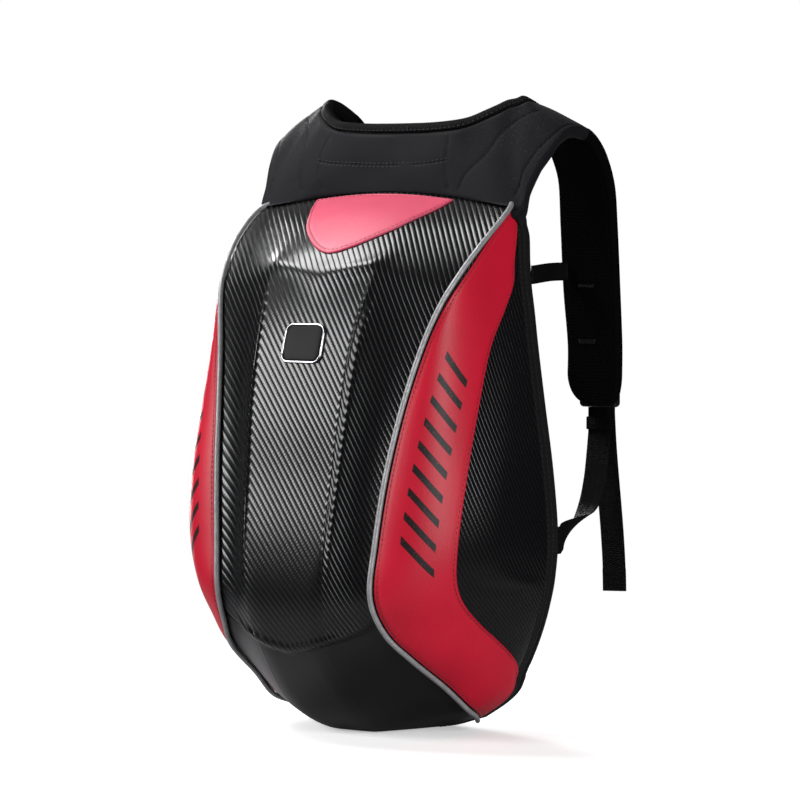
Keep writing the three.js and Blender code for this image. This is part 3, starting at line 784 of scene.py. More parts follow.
@dataclass(frozen=True)
class ReflectiveTape(Finish):
    """Grey reflective piping: fine glass beads, a sewn wrinkle every few millimetres."""

    def material(self) -> Material:
        """Builds the material."""
        made, w, shader = self.start(Metallic=0.25, Specular_IOR_Level=0.6)
        beads = w.call("ShaderNodeTexVoronoi", {"Vector": self.place(w), "Scale": 1400.0})
        soft = w.noise(self.place(w), 120.0, 3.0)
        w.feed(shader.inputs["Base Color"], self.shaded(w, soft, 0.12))
        self.handled(w, shader, 1.0, 0.2)
        self.relief(w, shader, w.math("MULTIPLY_ADD", soft, 2.0, beads.outputs["Distance"]),
                    0.00018)
        return made


@dataclass(frozen=True)
class MouldedPlastic(Finish):
    """Moulded plastic with a fine spark texture and a few rubbed places."""

    gloss: float = 0.5
    texture: float = 0.00003

    def material(self) -> Material:
        """Builds the material."""
        made, w, shader = self.start(Specular_IOR_Level=self.gloss)
        spark = w.noise(self.place(w), 1800.0, 2.0)
        w.feed(shader.inputs["Base Color"], self.shaded(w, w.noise(self.place(w), 60.0), 0.12))
        self.handled(w, shader, 0.7, 0.15)
        self.relief(w, shader, spark, self.texture)
        return made


@dataclass(frozen=True)
class BrightTrim(Finish):
    """Bright plated trim, finely brushed and slightly rubbed."""

    def material(self) -> Material:
        """Builds the material."""
        made, w, shader = self.start(Metallic=1.0)
        brushed = w.noise(self.place(w), 2400.0, 1.0)
        w.feed(shader.inputs["Base Color"], self.shaded(w, brushed, 0.08))
        self.handled(w, shader, 1.0, 0.3)
        self.relief(w, shader, brushed, 0.00001)
        return made


@dataclass(frozen=True)
class Thread(Finish):
    """Sewing thread, twisted."""

    def material(self) -> Material:
        """Builds the material."""
        made, w, shader = self.start(Specular_IOR_Level=0.3, Sheen_Weight=0.2)
        twist = w.noise(self.place(w), 2200.0, 1.0)
        w.feed(shader.inputs["Base Color"], self.shaded(w, twist, 0.25))
        w.feed(shader.inputs["Roughness"], w.math("MULTIPLY_ADD", twist, 0.1, self.roughness))
        self.relief(w, shader, twist, 0.00005)
        return made


@dataclass(frozen=True)
class StudioPaper(Finish):
    """The pale floor under the backpack, which fades into the background all round."""

    fade_from: float = 0.22
    fade_to: float = 0.8

    def material(self) -> Material:
        """Builds the material."""
        made, w, shader = self.start(Specular_IOR_Level=0.1, Emission_Strength=0.42)
        seen = w.node("ShaderNodeLightPath").outputs["Is Camera Ray"]
        w.feed(shader.inputs["Base Color"], w.tint(
            seen, (0.32, 0.32, 0.33, 1),
            self.shaded(w, w.noise(self.place(w), 3.0), 0.004)))
        w.feed(shader.inputs["Emission Color"], w.tint(seen, (0, 0, 0, 1), (1, 1, 1, 1)))
        w.feed(shader.inputs["Roughness"], self.roughness)
        x, y, _ = w.parts(self.place(w))
        w.feed(shader.inputs["Alpha"], w.math(
            "SUBTRACT", 1.0, w.rise(w.radius(x, y), self.fade_from, self.fade_to)))
        return made


@lru_cache(None)
def dressed(finish: Finish) -> Material:
    """Each finish's material is built once."""
    return finish.material()


TWILL = TwillVinyl("shell_twill_vinyl", srgb(10, 10, 12), 0.22)
RED = PanelLeather("side_panel_leather", srgb(196, 22, 48), 0.45, bars=True)
ROSE = PanelLeather("crown_panel_leather", srgb(216, 78, 106), 0.42)
TAPE = ReflectiveTape("reflective_piping_tape", srgb(150, 150, 152), 0.34)
BADGE = MouldedPlastic("badge_resin", srgb(8, 8, 9), 0.5, gloss=0.15, texture=0.00001)
TRIM = BrightTrim("badge_trim_plating", srgb(205, 206, 210), 0.22)
YOKE_CLOTH = Cloth("yoke_cloth", srgb(16, 16, 20), 0.78, depth=0.0001, sheen=0.03)
EDGE_CLOTH = Cloth("edge_cloth", srgb(12, 12, 13), 0.72, thread=0.0016, sheen=0.05)
PAD_MESH = AirMesh("strap_pad_mesh", srgb(3, 3, 4), 0.85)
BACK_MESH = AirMesh("back_panel_mesh", srgb(30, 30, 33), 0.85, hole=0.0046)
WEBBING = RibbedWebbing("strap_webbing", srgb(5, 5, 6), 0.66)
BINDING = RibbedWebbing("neck_binding_tape", srgb(17, 17, 19), 0.7, rib=0.0021, width=0.018)
BUCKLE = MouldedPlastic("buckle_plastic", srgb(20, 20, 22), 0.38)
RED_THREAD = Thread("panel_thread", srgb(120, 12, 30), 0.6)
BLACK_THREAD = Thread("cloth_thread", srgb(14, 14, 16), 0.6)
GREY_THREAD = Thread("bartack_thread", srgb(62, 62, 66), 0.6)
PAPER = StudioPaper("studio_floor_paper", srgb(250, 250, 250), 0.9)


# -------- growing along paths

@lru_cache(None)
def stitch_tree() -> NodeTree:
    """Stitches along a path: one small rounded thread after the other."""
    tree, w, start, end = new_tree(
        "GeometryNodeTree", "stitch_run",
        {"Geometry": ("Geometry", None), "Stitch": ("Float", 0.003),
         "Space": ("Float", 0.001), "Thickness": ("Float", 0.0006),
         "Thread": ("Material", None)}, {"Geometry": "Geometry"})
    line = w.call("GeometryNodeMeshToCurve", {"Mesh": start.outputs["Geometry"]})
    step = w.math("ADD", start.outputs["Stitch"], start.outputs["Space"])
    even = w.call("GeometryNodeResampleCurve", {"Curve": line.outputs[0], "Length": step},
                  mode="LENGTH")
    up = w.call("GeometryNodeInputNamedAttribute", {"Name": "up"}, data_type="FLOAT_VECTOR")
    first = w.call("FunctionNodeAlignRotationToVector",
                   {"Vector": w.node("GeometryNodeInputTangent").outputs[0]}, axis="X")
    turned = w.call("FunctionNodeAlignRotationToVector",
                    {"Rotation": first.outputs[0], "Vector": up.outputs[0]},
                    axis="Z", pivot_axis="X")
    half = w.math("MULTIPLY", start.outputs["Thickness"], 0.5)
    size = w.call("ShaderNodeCombineXYZ", {
        "X": w.math("MULTIPLY", start.outputs["Stitch"], 0.5), "Y": half,
        "Z": w.math("MULTIPLY", half, 0.7)})
    grain = w.call("GeometryNodeMeshUVSphere", {"Segments": 8, "Rings": 5, "Radius": 1.0})
    laid = w.call("GeometryNodeInstanceOnPoints", {
        "Points": even.outputs[0], "Instance": grain.outputs[0],
        "Rotation": turned.outputs[0], "Scale": size.outputs[0]})
    real = w.call("GeometryNodeRealizeInstances", {"Geometry": laid.outputs[0]})
    dress = w.call("GeometryNodeSetMaterial", {"Geometry": real.outputs[0],
                                               "Material": start.outputs["Thread"]})
    w.feed(end.inputs[0], dress.outputs[0])
    return tree


@lru_cache(None)
def cord_tree() -> NodeTree:
    """A round cord along a path, with closed ends."""
    tree, w, start, end = new_tree(
        "GeometryNodeTree", "sewn_cord",
        {"Geometry": ("Geometry", None), "Radius": ("Float", 0.002),
         "Sides": ("Int", 12), "Cover": ("Material", None)},
        {"Geometry": "Geometry"})
    line = w.call("GeometryNodeMeshToCurve", {"Mesh": start.outputs["Geometry"]})
    round_ = w.call("GeometryNodeCurvePrimitiveCircle", {
        "Resolution": start.outputs["Sides"], "Radius": start.outputs["Radius"]})
    swept = w.call("GeometryNodeCurveToMesh", {
        "Curve": line.outputs[0], "Profile Curve": round_.outputs[0], "Fill Caps": True})
    real = w.call("GeometryNodeRealizeInstances", {"Geometry": swept.outputs[0]})
    dress = w.call("GeometryNodeSetMaterial", {"Geometry": real.outputs[0],
                                               "Material": start.outputs["Cover"]})
    w.feed(end.inputs[0], dress.outputs[0])
    return tree


@dataclass
class Path:
    """Lines on the backpack that something is sewn along, in millimetres."""

    lines: list[tuple[Array, Array, bool]] = field(default_factory=list)

    def add(self, points: Array, up: Array, closed: bool = False) -> None:
        """Adds a line with its outward directions."""
        self.lines.append((np.asarray(points, float), np.broadcast_to(up, np.shape(points)),
                           closed))

    def grow(self, name: str, tree: NodeTree, finish: Finish,
             **numbers: float | int) -> Object:
        """Runs a geometry tree along the lines.

        Args:
            name: the new piece's name.
            tree: stitch_tree() or cord_tree().
            finish: its material.
            numbers: the tree's inputs.

        Returns:
            A plain mesh object, the modifier gone.
        """
        points, ups, edges = [], [], []
        for line, up, closed in self.lines:
            first = sum(len(p) for p in points)
            points.append(metres(line))
            ups.append(up)
            n = len(line)
            edges += [(first + k, first + (k + 1) % n) for k in range(n if closed else n - 1)]
        mesh = bpy.data.meshes.new(name + "_path")
        mesh.from_pydata(np.concatenate(points).tolist(), edges, [])
        mesh.attributes.new("up", "FLOAT_VECTOR", "POINT").data.foreach_set(
            "vector", np.concatenate(ups).astype(np.float32).ravel())
        carrier = bpy.data.objects.new(name + "_path", mesh)
        bpy.context.scene.collection.objects.link(carrier)
        grower = carrier.modifiers.new("grow", "NODES")
        grower.node_group = tree
        material = dressed(finish)
        for item in tree.interface.items_tree:
            if item.item_type == "SOCKET" and item.in_out == "INPUT":
                if item.name in numbers:
                    grower[item.identifier] = numbers[item.name]
                elif item.socket_type == "NodeSocketMaterial":
                    grower[item.identifier] = material
        graph = bpy.context.evaluated_depsgraph_get()
        grown = bpy.data.meshes.new_from_object(carrier.evaluated_get(graph))
        bpy.data.objects.remove(carrier)
        bpy.data.meshes.remove(mesh)
        grown.name = name
        return placed(tidied(grown, weld=1e-7), name, material, sharp=60.0)


# -------- the shell's surface

@dataclass(frozen=True)
class ShellSurface:
    """The outer surface of the shell, at rows t (0 crown, 15 foot) and shares s.

    s runs 0 to 1 from the middle line to the edge of the raised spine, 1 to 2 to the piping's
    edge line and 2 to 3 over the flank to the rim; it is negative on the left.

    Attributes:
        half: what the table's x is a share of.
        depth: what its y is a share of.
        height: what its z is a share of.
        rows: for each t the front's y and z, the spine edge's x and z, the piping line's x, y
            and z, the rim's x and z, the flank's fullness, the slope's swell, and how far over
            s = 2 the side panel ends.
    """

    half: float = HALF
    depth: float = DEPTH
    height: float = HEIGHT
    rows: tuple[tuple[float, ...], ...] = (
        (0.000, 1.000, 0.250, 0.997, 0.762, 0.000, 0.972, 0.792, 0.938, 1.00, 0.000, 0.90),
        (-0.091, 0.986, 0.280, 0.982, 0.820, -0.126, 0.954, 0.810, 0.915, 0.90, 0.000, 0.93),
        (-0.354, 0.940, 0.321, 0.933, 0.810, -0.331, 0.899, 0.815, 0.869, 0.85, 0.000, 0.94),
        (-0.594, 0.879, 0.339, 0.870, 0.768, -0.503, 0.833, 0.825, 0.825, 0.85, 0.000, 0.94),
        (-0.686, 0.831, 0.333, 0.821, 0.720, -0.589, 0.783, 0.845, 0.779, 0.85, 0.011, 0.85),
        (-0.806, 0.724, 0.310, 0.722, 0.661, -0.663, 0.712, 0.872, 0.708, 0.82, 0.023, 0.72),
        (-0.886, 0.604, 0.298, 0.604, 0.601, -0.754, 0.604, 0.917, 0.604, 0.80, 0.029, 0.63),
        (-0.937, 0.483, 0.280, 0.483, 0.554, -0.834, 0.483, 0.970, 0.483, 0.80, 0.029, 0.55),
        (-0.989, 0.362, 0.262, 0.362, 0.518, -0.880, 0.362, 1.000, 0.366, 0.88, 0.029, 0.50),
        (-1.000, 0.272, 0.250, 0.272, 0.500, -0.897, 0.272, 0.983, 0.286, 1.06, 0.023, 0.52),
        (-0.966, 0.205, 0.232, 0.206, 0.524, -0.806, 0.207, 0.946, 0.229, 1.20, 0.017, 0.60),
        (-0.903, 0.149, 0.214, 0.150, 0.583, -0.663, 0.159, 0.901, 0.181, 1.25, 0.006, 0.72),
        (-0.720, 0.070, 0.226, 0.074, 0.620, -0.411, 0.101, 0.851, 0.141, 1.15, 0.000, 0.87),
        (-0.526, 0.022, 0.190, 0.025, 0.643, -0.240, 0.056, 0.821, 0.121, 1.15, 0.000, 0.94),
        (-0.343, 0.000, 0.167, 0.000, 0.619, -0.126, 0.038, 0.804, 0.109, 1.10, 0.000, 0.94),
        (0.000, 0.000, 0.321, 0.000, 0.548, 0.000, 0.024, 0.792, 0.101, 1.00, 0.000, 0.94),
    )

    def plain(self, t: Array, s: Array) -> Array:
        """The surface without its fine relief; the spine's edge is soft at crown and foot.

        Args:
            t: rows.
            s: shares.

        Returns:
            The points.
        """
        t, s = np.broadcast_arrays(np.asarray(t, float), np.asarray(s, float))
        soft = np.maximum(smoothstep(7.2, 10.0, t), 1 - smoothstep(2.6, 3.6, t)) \
            * (1 - smoothstep(1.35, 1.75, np.abs(s))) * smoothstep(0.1, 0.6, np.abs(s))
        return sum(weight * self.folded(t, s + shift * soft) for shift, weight in
                   ((-0.36, 0.1), (-0.18, 0.22), (0.0, 0.36), (0.18, 0.22), (0.36, 0.1)))

    def folded(self, t: Array, s: Array) -> Array:
        """The surface as its table gives it.

        Args:
            t: rows.
            s: shares.

        Returns:
            The points.
        """
        t, s = np.broadcast_arrays(np.clip(t, 0, FOOT), np.clip(s, -EDGE, EDGE))
        r = through(np.array(self.rows), t)
        front_y, front_z, spine_x, spine_z = (r[..., k] for k in range(4))
        a = np.abs(s)
        middle = np.stack([spine_x * np.minimum(a, 1), front_y,
                           front_z + (spine_z - front_z) * np.minimum(a, 1) ** 2], -1)
        pipe = r[..., 4:7]
        k = np.clip(a - 1, 0, 1)
        slope = middle + (pipe - middle) * k[..., None]
        slope[..., 1] += r[..., 10] * np.sin(np.pi * k)
        share = np.clip(a - 2, 0, 1)
        angle = share * np.pi / 2
        flank = np.stack([
            r[..., 4] + (r[..., 7] - r[..., 4]) * np.sin(angle) ** r[..., 9],
            r[..., 5] * np.maximum(np.cos(angle), 0) ** r[..., 9],
            r[..., 6] + (r[..., 8] - r[..., 6]) * share], -1)
        p = np.where((a > 2)[..., None], flank, np.where((a > 1)[..., None], slope, middle))
        p = p * [self.half, self.depth, self.height]
        p[..., 0] *= np.sign(s)
        p[..., 2] = np.maximum(p[..., 2], 0)
        return p

    def outward(self, t: Array, s: Array) -> Array:
        """The outward direction; in the rim plane along the rim.

        Args:
            t: rows.
            s: shares.

        Returns:
            Directions of length 1.
        """
        t, s = np.broadcast_arrays(np.asarray(t, float), np.asarray(s, float))
        e = 0.02
        down = self.plain(t + e, s) - self.plain(t - e, s)
        right = self.plain(t, s + e) - self.plain(t, s - e)
        n = unit(np.cross(down, right))
        rim = (t < 1e-6) | (t > FOOT - 1e-6) | (np.abs(s) > EDGE - 1e-6)
        if rim.any():
            p = self.plain(t, s) - [0, 0, self.height / 2]
            p[..., 1] = 0
            n = np.where(rim[..., None], unit(n * [1, 0, 1] + 0.15 * unit(p)), n)
        return n

    def crease(self, s: Array) -> Array:
        """The row where the twill ends above the smooth foot."""
        return np.interp(np.abs(s), [0, 0.6, 1.25, 1.7, 1.9, 2.0],
                         [10.80, 10.65, 10.30, 9.92, 9.70, 9.60])

    def relief(self, t: Array, s: Array) -> Array:
        """Height of the moulded detail over the plain surface.

        Args:
            t: rows.
            s: shares.

        Returns:
            Heights in millimetres: bead, brow, foot and ridge.
        """
        t, s = np.broadcast_arrays(np.asarray(t, float), np.asarray(s, float))
        a = np.abs(s)
        run = smoothstep(3.7, 4.7, t) * (1 - smoothstep(7.4, 9.2, t))
        bead = bell(a, 1.0, 0.032) - 0.7 * bell(a, 1.085, 0.03)
        brow_row = np.interp(a, [0, 0.4, 0.8, 1.15], [3.92, 3.72, 3.35, 2.85])
        brow = 2.2 * bell(t, brow_row, 0.30) * (1 - smoothstep(0.85, 1.25, a))
        below = t - self.crease(s)
        roll = 1.6 * bell(below, -0.14, 0.13)
        step = -2.3 * smoothstep(-0.03, 0.11, below) * (1 - smoothstep(0.6, 2.4, below))
        foot = (roll + step) * (1 - smoothstep(1.80, 2.0, a))
        line = np.interp(t, [5.0, 5.9, 6.6, 7.3, 7.9, 8.4, 8.8, 9.1],
                         [2.90, 2.84, 2.80, 2.74, 2.70, 2.68, 2.76, 2.92])
        ridge = 2.0 * np.clip(1 - np.abs(a - line) / 0.16, 0, 1) \
            * smoothstep(4.6, 6.2, t) * (1 - smoothstep(8.8, 9.6, t))
        fade = (1 - smoothstep(2.85, EDGE, a)) * smoothstep(0, 0.6, t) \
            * (1 - smoothstep(14.2, FOOT, t))
        return (bead * run + brow + foot + ridge) * fade

    def at(self, t: Array, s: Array, lift: Array | float = 0.0) -> Array:
        """The surface with its relief.

        Args:
            t: rows.
            s: shares.
            lift: how far off it, in millimetres.

        Returns:
            The points.
        """
        offset = self.relief(t, s) + lift
        p = self.plain(t, s) + self.outward(t, s) * offset[..., None]
        p[..., 2] = np.maximum(p[..., 2], 0)
        return p

    def seam(self, t: Array, clear: float = 3.4) -> Array:
        """Where the side panel begins beside the piping.

        Args:
            t: rows.
            clear: how far from the piping's line, in millimetres.

        Returns:
            One share s, over 2, for each row.
        """
        s = np.linspace(2, 2.4, 81)
        p = self.plain(t[:, None], s[None, :])
        away = np.linalg.norm(p - p[:, :1], axis=-1)
        return np.array([np.interp(clear, row, s) for row in np.maximum.accumulate(away, 1)])

    def panel_edge(self, t: Array) -> Array:
        """The share s where the side panel ends on the flank."""
        return 2 + through(np.array(self.rows), t)[..., 11]

    @lru_cache(None)
    def net(self) -> BVHTree:
        """The surface as a searchable net of faces."""
        t, s = np.linspace(0, FOOT, 181), np.linspace(-EDGE, EDGE, 181)
        p = self.at(t[:, None], s[None, :])
        n = len(s)
        faces = [(i * n + j, (i + 1) * n + j, (i + 1) * n + j + 1, i * n + j + 1)
                 for i in range(len(t) - 1) for j in range(n - 1)]
        return BVHTree.FromPolygons(p.reshape(-1, 3).tolist(), faces)

    def hit(self, start: Array, way: tuple[float, float, float]) -> tuple[Array, Array] | None:
        """Where a ray meets the surface.

        Args:
            start: the point it starts from.
            way: its direction.

        Returns:
            The point and the outward direction there, or None.
        """
        found = self.net().ray_cast(Vector(start), Vector(way))
        if found[0] is None:
            return None
        n = np.array(found[1])
        return np.array(found[0]), n if n @ np.array(way) < 0 else -n

    def rim(self, count: int) -> tuple[Array, Array]:
        """The rim as a closed loop.

        Args:
            count: how many evenly spaced points.

        Returns:
            The points in the plane y = 0, and the outward directions.
        """
        s, t = np.linspace(-EDGE, EDGE, 240), np.linspace(0, FOOT, 300)
        p = spaced(np.concatenate([
            self.plain(0.0, s)[:-1], self.plain(t, EDGE)[:-1],
            self.plain(FOOT, s[::-1])[:-1], self.plain(t[::-1], -EDGE)[:-1]]), count)
        p[:, 1] = 0
        along = np.roll(p, -3, 0) - np.roll(p, 3, 0)
        return p, unit(np.stack([-along[:, 2], 0 * along[:, 0], along[:, 0]], -1))


# -------- sub-assemblies

@dataclass
class MouldedShell:
    """The moulded bowl with its raised spine."""

    surface: ShellSurface
    wall: float = 2.5

    def columns(self) -> Array:
        """Shares s of the grid, close together where the bead runs."""
        half = np.concatenate([
            np.linspace(0, 0.88, 9), np.linspace(0.91, 1.15, 17), np.linspace(1.2, 1.95, 12),
            np.linspace(2.0, EDGE, 34)])
        return np.concatenate([-half[:0:-1], half])

    def levels(self) -> Array:
        """Rows t of the grid, close together at the brow and at the lower crease."""
        return np.concatenate([
            np.linspace(0, 2.6, 27)[:-1], np.linspace(2.6, 4.6, 44)[:-1],
            np.linspace(4.6, 10.1, 62)[:-1], np.linspace(10.1, 11.4, 40)[:-1],
            np.linspace(11.4, FOOT, 40)])

    def build(self) -> Object:
        """Builds the shell with its wall."""
        t, s = self.levels()[:, None], self.columns()[None, :]
        outer = self.surface.at(t, s)
        plain = self.surface.plain(t, s)
        inner = plain - self.surface.outward(t, s) * self.wall
        inner[..., 2] = np.maximum(inner[..., 2], np.minimum(self.wall, outer[..., 2] + 2.4))
        across = arc(plain, 1)
        across -= across[:, [s.shape[1] // 2]]
        uv = np.stack([across, arc(plain, 0)], -1)
        below = t - self.surface.crease(s)
        twill = np.where(np.abs(s) < 2.0, 1 - smoothstep(-0.03, 0.05, below), 1.0)
        draft = Draft("moulded_shell")
        draft.add_slab(outer, inner, uv, twill=twill)
        return settle(draft.finish(TWILL, sharp=50), Slot.SHELL, "shell")


def sewn(near: Array) -> tuple[Array, Array]:
    """A sewn panel's share of its thickness near its edge, and where painted shade darkens it: at
    the very edge and along the stitch groove.
    """
    return (np.sqrt(np.clip(near / 0.9, 0, 1)) * 0.6 + 0.4,
            bell(near, 0, 0.5) + 0.6 * bell(near, SEWN_IN, 0.6))


@dataclass
class FlankTrim:
    """Side panel, its stitches and the piping beside it, on one side."""

    surface: ShellSurface
    side: Side
    thick: float = 1.4
    radius: float = 2.4
    first_row: float = 0.5

    def panel(self) -> Object:
        """Builds the leather panel."""
        t = np.concatenate([np.linspace(self.first_row, 8, 110)[:-1], np.linspace(8, FOOT, 120)])
        k = np.concatenate([[0, 0.012, 0.03], np.linspace(0.06, 0.94, 22), [0.97, 0.988, 1]])
        a, b = self.surface.seam(t)[:, None], self.surface.panel_edge(t)[:, None]
        s = (a + (b - a) * k[None, :]) * self.side.value
        rows = t[:, None]
        flat = self.surface.plain(rows, s)
        across, down = arc(flat, 1), arc(flat, 0)
        width = across[:, -1:]
        near = np.minimum(across, width - across)
        # edge is the painted shade at the panel's edges and in its stitch groove.
        pad, edge = sewn(near)
        puff = 0.5 * np.sin(np.pi * np.clip(across / np.maximum(width, 1), 0, 1))
        valley = -0.55 * bell(near, SEWN_IN, 0.9)
        outer = self.surface.at(rows, s, GAP + self.thick * pad + puff * 0.6 + valley)
        inner = self.surface.at(rows, s, GAP)
        draft = Draft(f"side_panel_{self.side.label}_leather")
        draft.add_slab(outer, inner, np.stack([across, down], -1),
                       across=across / np.maximum(width, 1), edge=edge)
        return settle(draft.finish(RED, sharp=60), Slot.RED,
                      f"side_panel_{self.side.label}")

    def inside(self, t: Array, inset: float, from_seam: bool) -> Array:
        """Shares s of a line that runs inside one of the panel's edges.

        Args:
            t: rows.
            inset: how far inside, in millimetres.
            from_seam: True beside the piping, False at the rear edge.

        Returns:
            One share for each row.
        """
        a, b = self.surface.seam(t), self.surface.panel_edge(t)
        k = np.linspace(0, 1, 41)
        p = self.surface.plain(t[:, None], a[:, None] + (b - a)[:, None] * k)
        far = arc(p, 1)
        if not from_seam:
            far = far[:, -1:] - far
            far, k = far[:, ::-1], k[::-1]
        share = np.array([np.interp(inset, row, k) for row in far])
        return a + (b - a) * share

    def stitches(self) -> Object:
        """Sews the panel down along both of its edges."""
        path = Path()
        t = np.linspace(self.first_row + 0.25, 14.9, 340)
        for from_seam in (True, False):
            s = self.inside(t, SEWN_IN, from_seam) * self.side.value
            path.add(self.surface.at(t, s, GAP + self.thick - 0.25), self.surface.outward(t, s))
        made = path.grow(f"side_panel_{self.side.label}_stitches", stitch_tree(), RED_THREAD,
                         Stitch=0.0036, Space=0.0011, Thickness=0.0009)
        return settle(made, Slot.RED)

    def piping(self) -> Object:
        """Lays the reflective piping along the edge line."""
        t = np.concatenate([np.linspace(self.first_row, 9, 140)[:-1], np.linspace(9, FOOT, 120)])
        s = np.full_like(t, 2.0) * self.side.value
        before, after = self.surface.outward(t, s * 0.985), self.surface.outward(t, s * 1.01)
        up = unit(before + after)
        path = Path()
        path.add(self.surface.plain(t, s) + up * (self.radius + GAP), up)
        made = path.grow(f"reflective_piping_{self.side.label}_cord", cord_tree(), TAPE,
                         Radius=self.radius * 0.001, Sides=14)
        return settle(made, Slot.PIPING, f"reflective_piping_{self.side.label}")

    def build(self) -> None:
        """Builds the side's pieces."""
        self.panel()
        self.stitches()
        self.piping()


@dataclass
class CrownPanel:
    """The shield-shaped panel on the crown."""

    surface: ShellSurface
    thick: float = 1.4
    outline: tuple[tuple[float, float], ...] = (
        (0.452, -0.088), (0.420, -0.178), (0.369, -0.274), (0.286, -0.406),
        (0.167, -0.520), (0.071, -0.577), (0.000, -0.594))

    def edge(self, count: int) -> Array:
        """The outline seen from above, evenly spaced, closed under the yoke.

        Args:
            count: how many points.

        Returns:
            Points x and y.
        """
        right = through(np.array(self.outline), np.linspace(0, 6, 61)) \
            * [self.surface.half, self.surface.depth]
        left = right[-2::-1] * [-1, 1]
        top = np.stack([np.linspace(left[-1, 0], right[0, 0], 40)[1:-1],
                        np.full(38, right[0, 1])], -1)
        return spaced(np.concatenate([right, left, top]), count)

    def on_crown(self, flat: Array) -> tuple[Array, Array]:
        """Drops points seen from above onto the crown.

        Args:
            flat: points x and y.

        Returns:
            The points on the crown and the outward directions.
        """
        points, ups = [], []
        for x, y in flat.reshape(-1, 2):
            found = self.surface.hit(np.array([x, y, ABOVE]), (0, 0, -1))
            points.append(found[0])
            ups.append(found[1])
        shape = flat.shape[:-1] + (3,)
        return np.array(points).reshape(shape), np.array(ups).reshape(shape)

    def build(self) -> None:
        """Builds the panel and its stitches."""
        loop = self.edge(168)
        centre = np.array([0.0, -0.30 * self.surface.depth])
        k = np.concatenate([np.linspace(0.04, 0.9, 20), [0.93, 0.955, 0.975, 0.99, 1.0]])
        flat = centre + (loop[None] - centre) * k[:, None, None]
        points, ups = self.on_crown(flat)
        near = (1 - k)[:, None] * np.linalg.norm(loop - centre, axis=1)[None]
        # edge is the painted shade at the panel's edges and in its stitch groove.
        pad, edge = sewn(near)
        valley = -0.5 * bell(near, SEWN_IN, 0.9)
        lift = GAP + self.thick * pad + 0.8 * (1 - k[:, None] ** 2) + valley
        outer = points + ups * lift[..., None]
        inner = points + ups * GAP
        draft = Draft("crown_panel_leather")
        a = draft.add_grid(outer, flat, wrap=True, edge=edge)
        b = draft.add_grid(inner, flat, wrap=True)
        n, last = len(loop), (len(k) - 1) * len(loop)
        draft.add_wall(a + last, b + last, n)
        for start, grid in ((a, outer), (b, inner)):
            draft.add_fan(start, n, grid[0].mean(0))
        settle(draft.finish(ROSE, sharp=60), Slot.PINK, "top_panel")
        spoke = loop[:132] - centre
        far = np.linalg.norm(spoke, axis=1)
        line, up = self.on_crown(centre + spoke * (1 - SEWN_IN / far)[:, None])
        path = Path()
        path.add(line + up * (GAP + self.thick - 0.2), up)
        settle(path.grow("crown_panel_stitches", stitch_tree(), RED_THREAD, Stitch=0.0034,
                         Space=0.0011, Thickness=0.0008), Slot.PINK)


@dataclass
class Badge:
    """The bare badge on the spine: a domed plate in a thin bright frame."""

    surface: ShellSurface
    width: float = 44.0
    tall: float = 35.0
    corner: float = 9.0
    rim: float = 1.8
    level: float = 0.718

    def ring(self, inset: float, count: int = 96) -> Array:
        """The rounded outline inside the badge's edge.

        Args:
            inset: how far inside.
            count: how many points.

        Returns:
            Points x and z.
        """
        r = self.corner - inset
        w, h = self.width / 2 - inset - r, self.tall / 2 - inset - r
        angle = (np.arange(count) + 0.5) * 2 * np.pi / count
        c, s = np.cos(angle), np.sin(angle)
        return np.stack([np.sign(c) * w + r * c, np.sign(s) * h + r * s], -1)

    def on_spine(self, flat: Array, lift: float) -> Array:
        """Puts an outline on the spine.

        Args:
            flat: points x and z.
            lift: how far off the spine.

        Returns:
            The points.
        """
        points = []
        for x, z in flat:
            found = self.surface.hit(
                np.array([x, AHEAD, z + self.level * self.surface.height]), (0, 1, 0))
            points.append(found[0] + found[1] * lift)
        return np.array(points)

    def build(self) -> None:
        """Builds the frame and the plate."""
        profile = [(0.0, GAP), (0.0, 1.8), (0.25, 2.4), (0.7, 2.75), (1.1, 2.75), (1.55, 2.4),
                   (self.rim, 1.9), (self.rim, GAP)]
        rings = np.stack([self.on_spine(self.ring(i), d) for i, d in profile])
        draft = Draft("badge_frame_trim")
        draft.add_grid(np.concatenate([rings, rings[:1]]), wrap=True)
        settle(draft.finish(TRIM, sharp=50), Slot.TRIM, "badge_frame")
        profile = [(2.1, GAP), (2.1, 1.5), (2.4, 1.9), (3.2, 2.15), (5.0, 2.35), (8.0, 2.45)]
        rings = np.stack([self.on_spine(self.ring(i), d) for i, d in profile])
        draft = Draft("badge_plate_resin")
        draft.add_tube(rings)
        settle(draft.finish(BADGE, sharp=40), Slot.BADGE, "badge_plate")


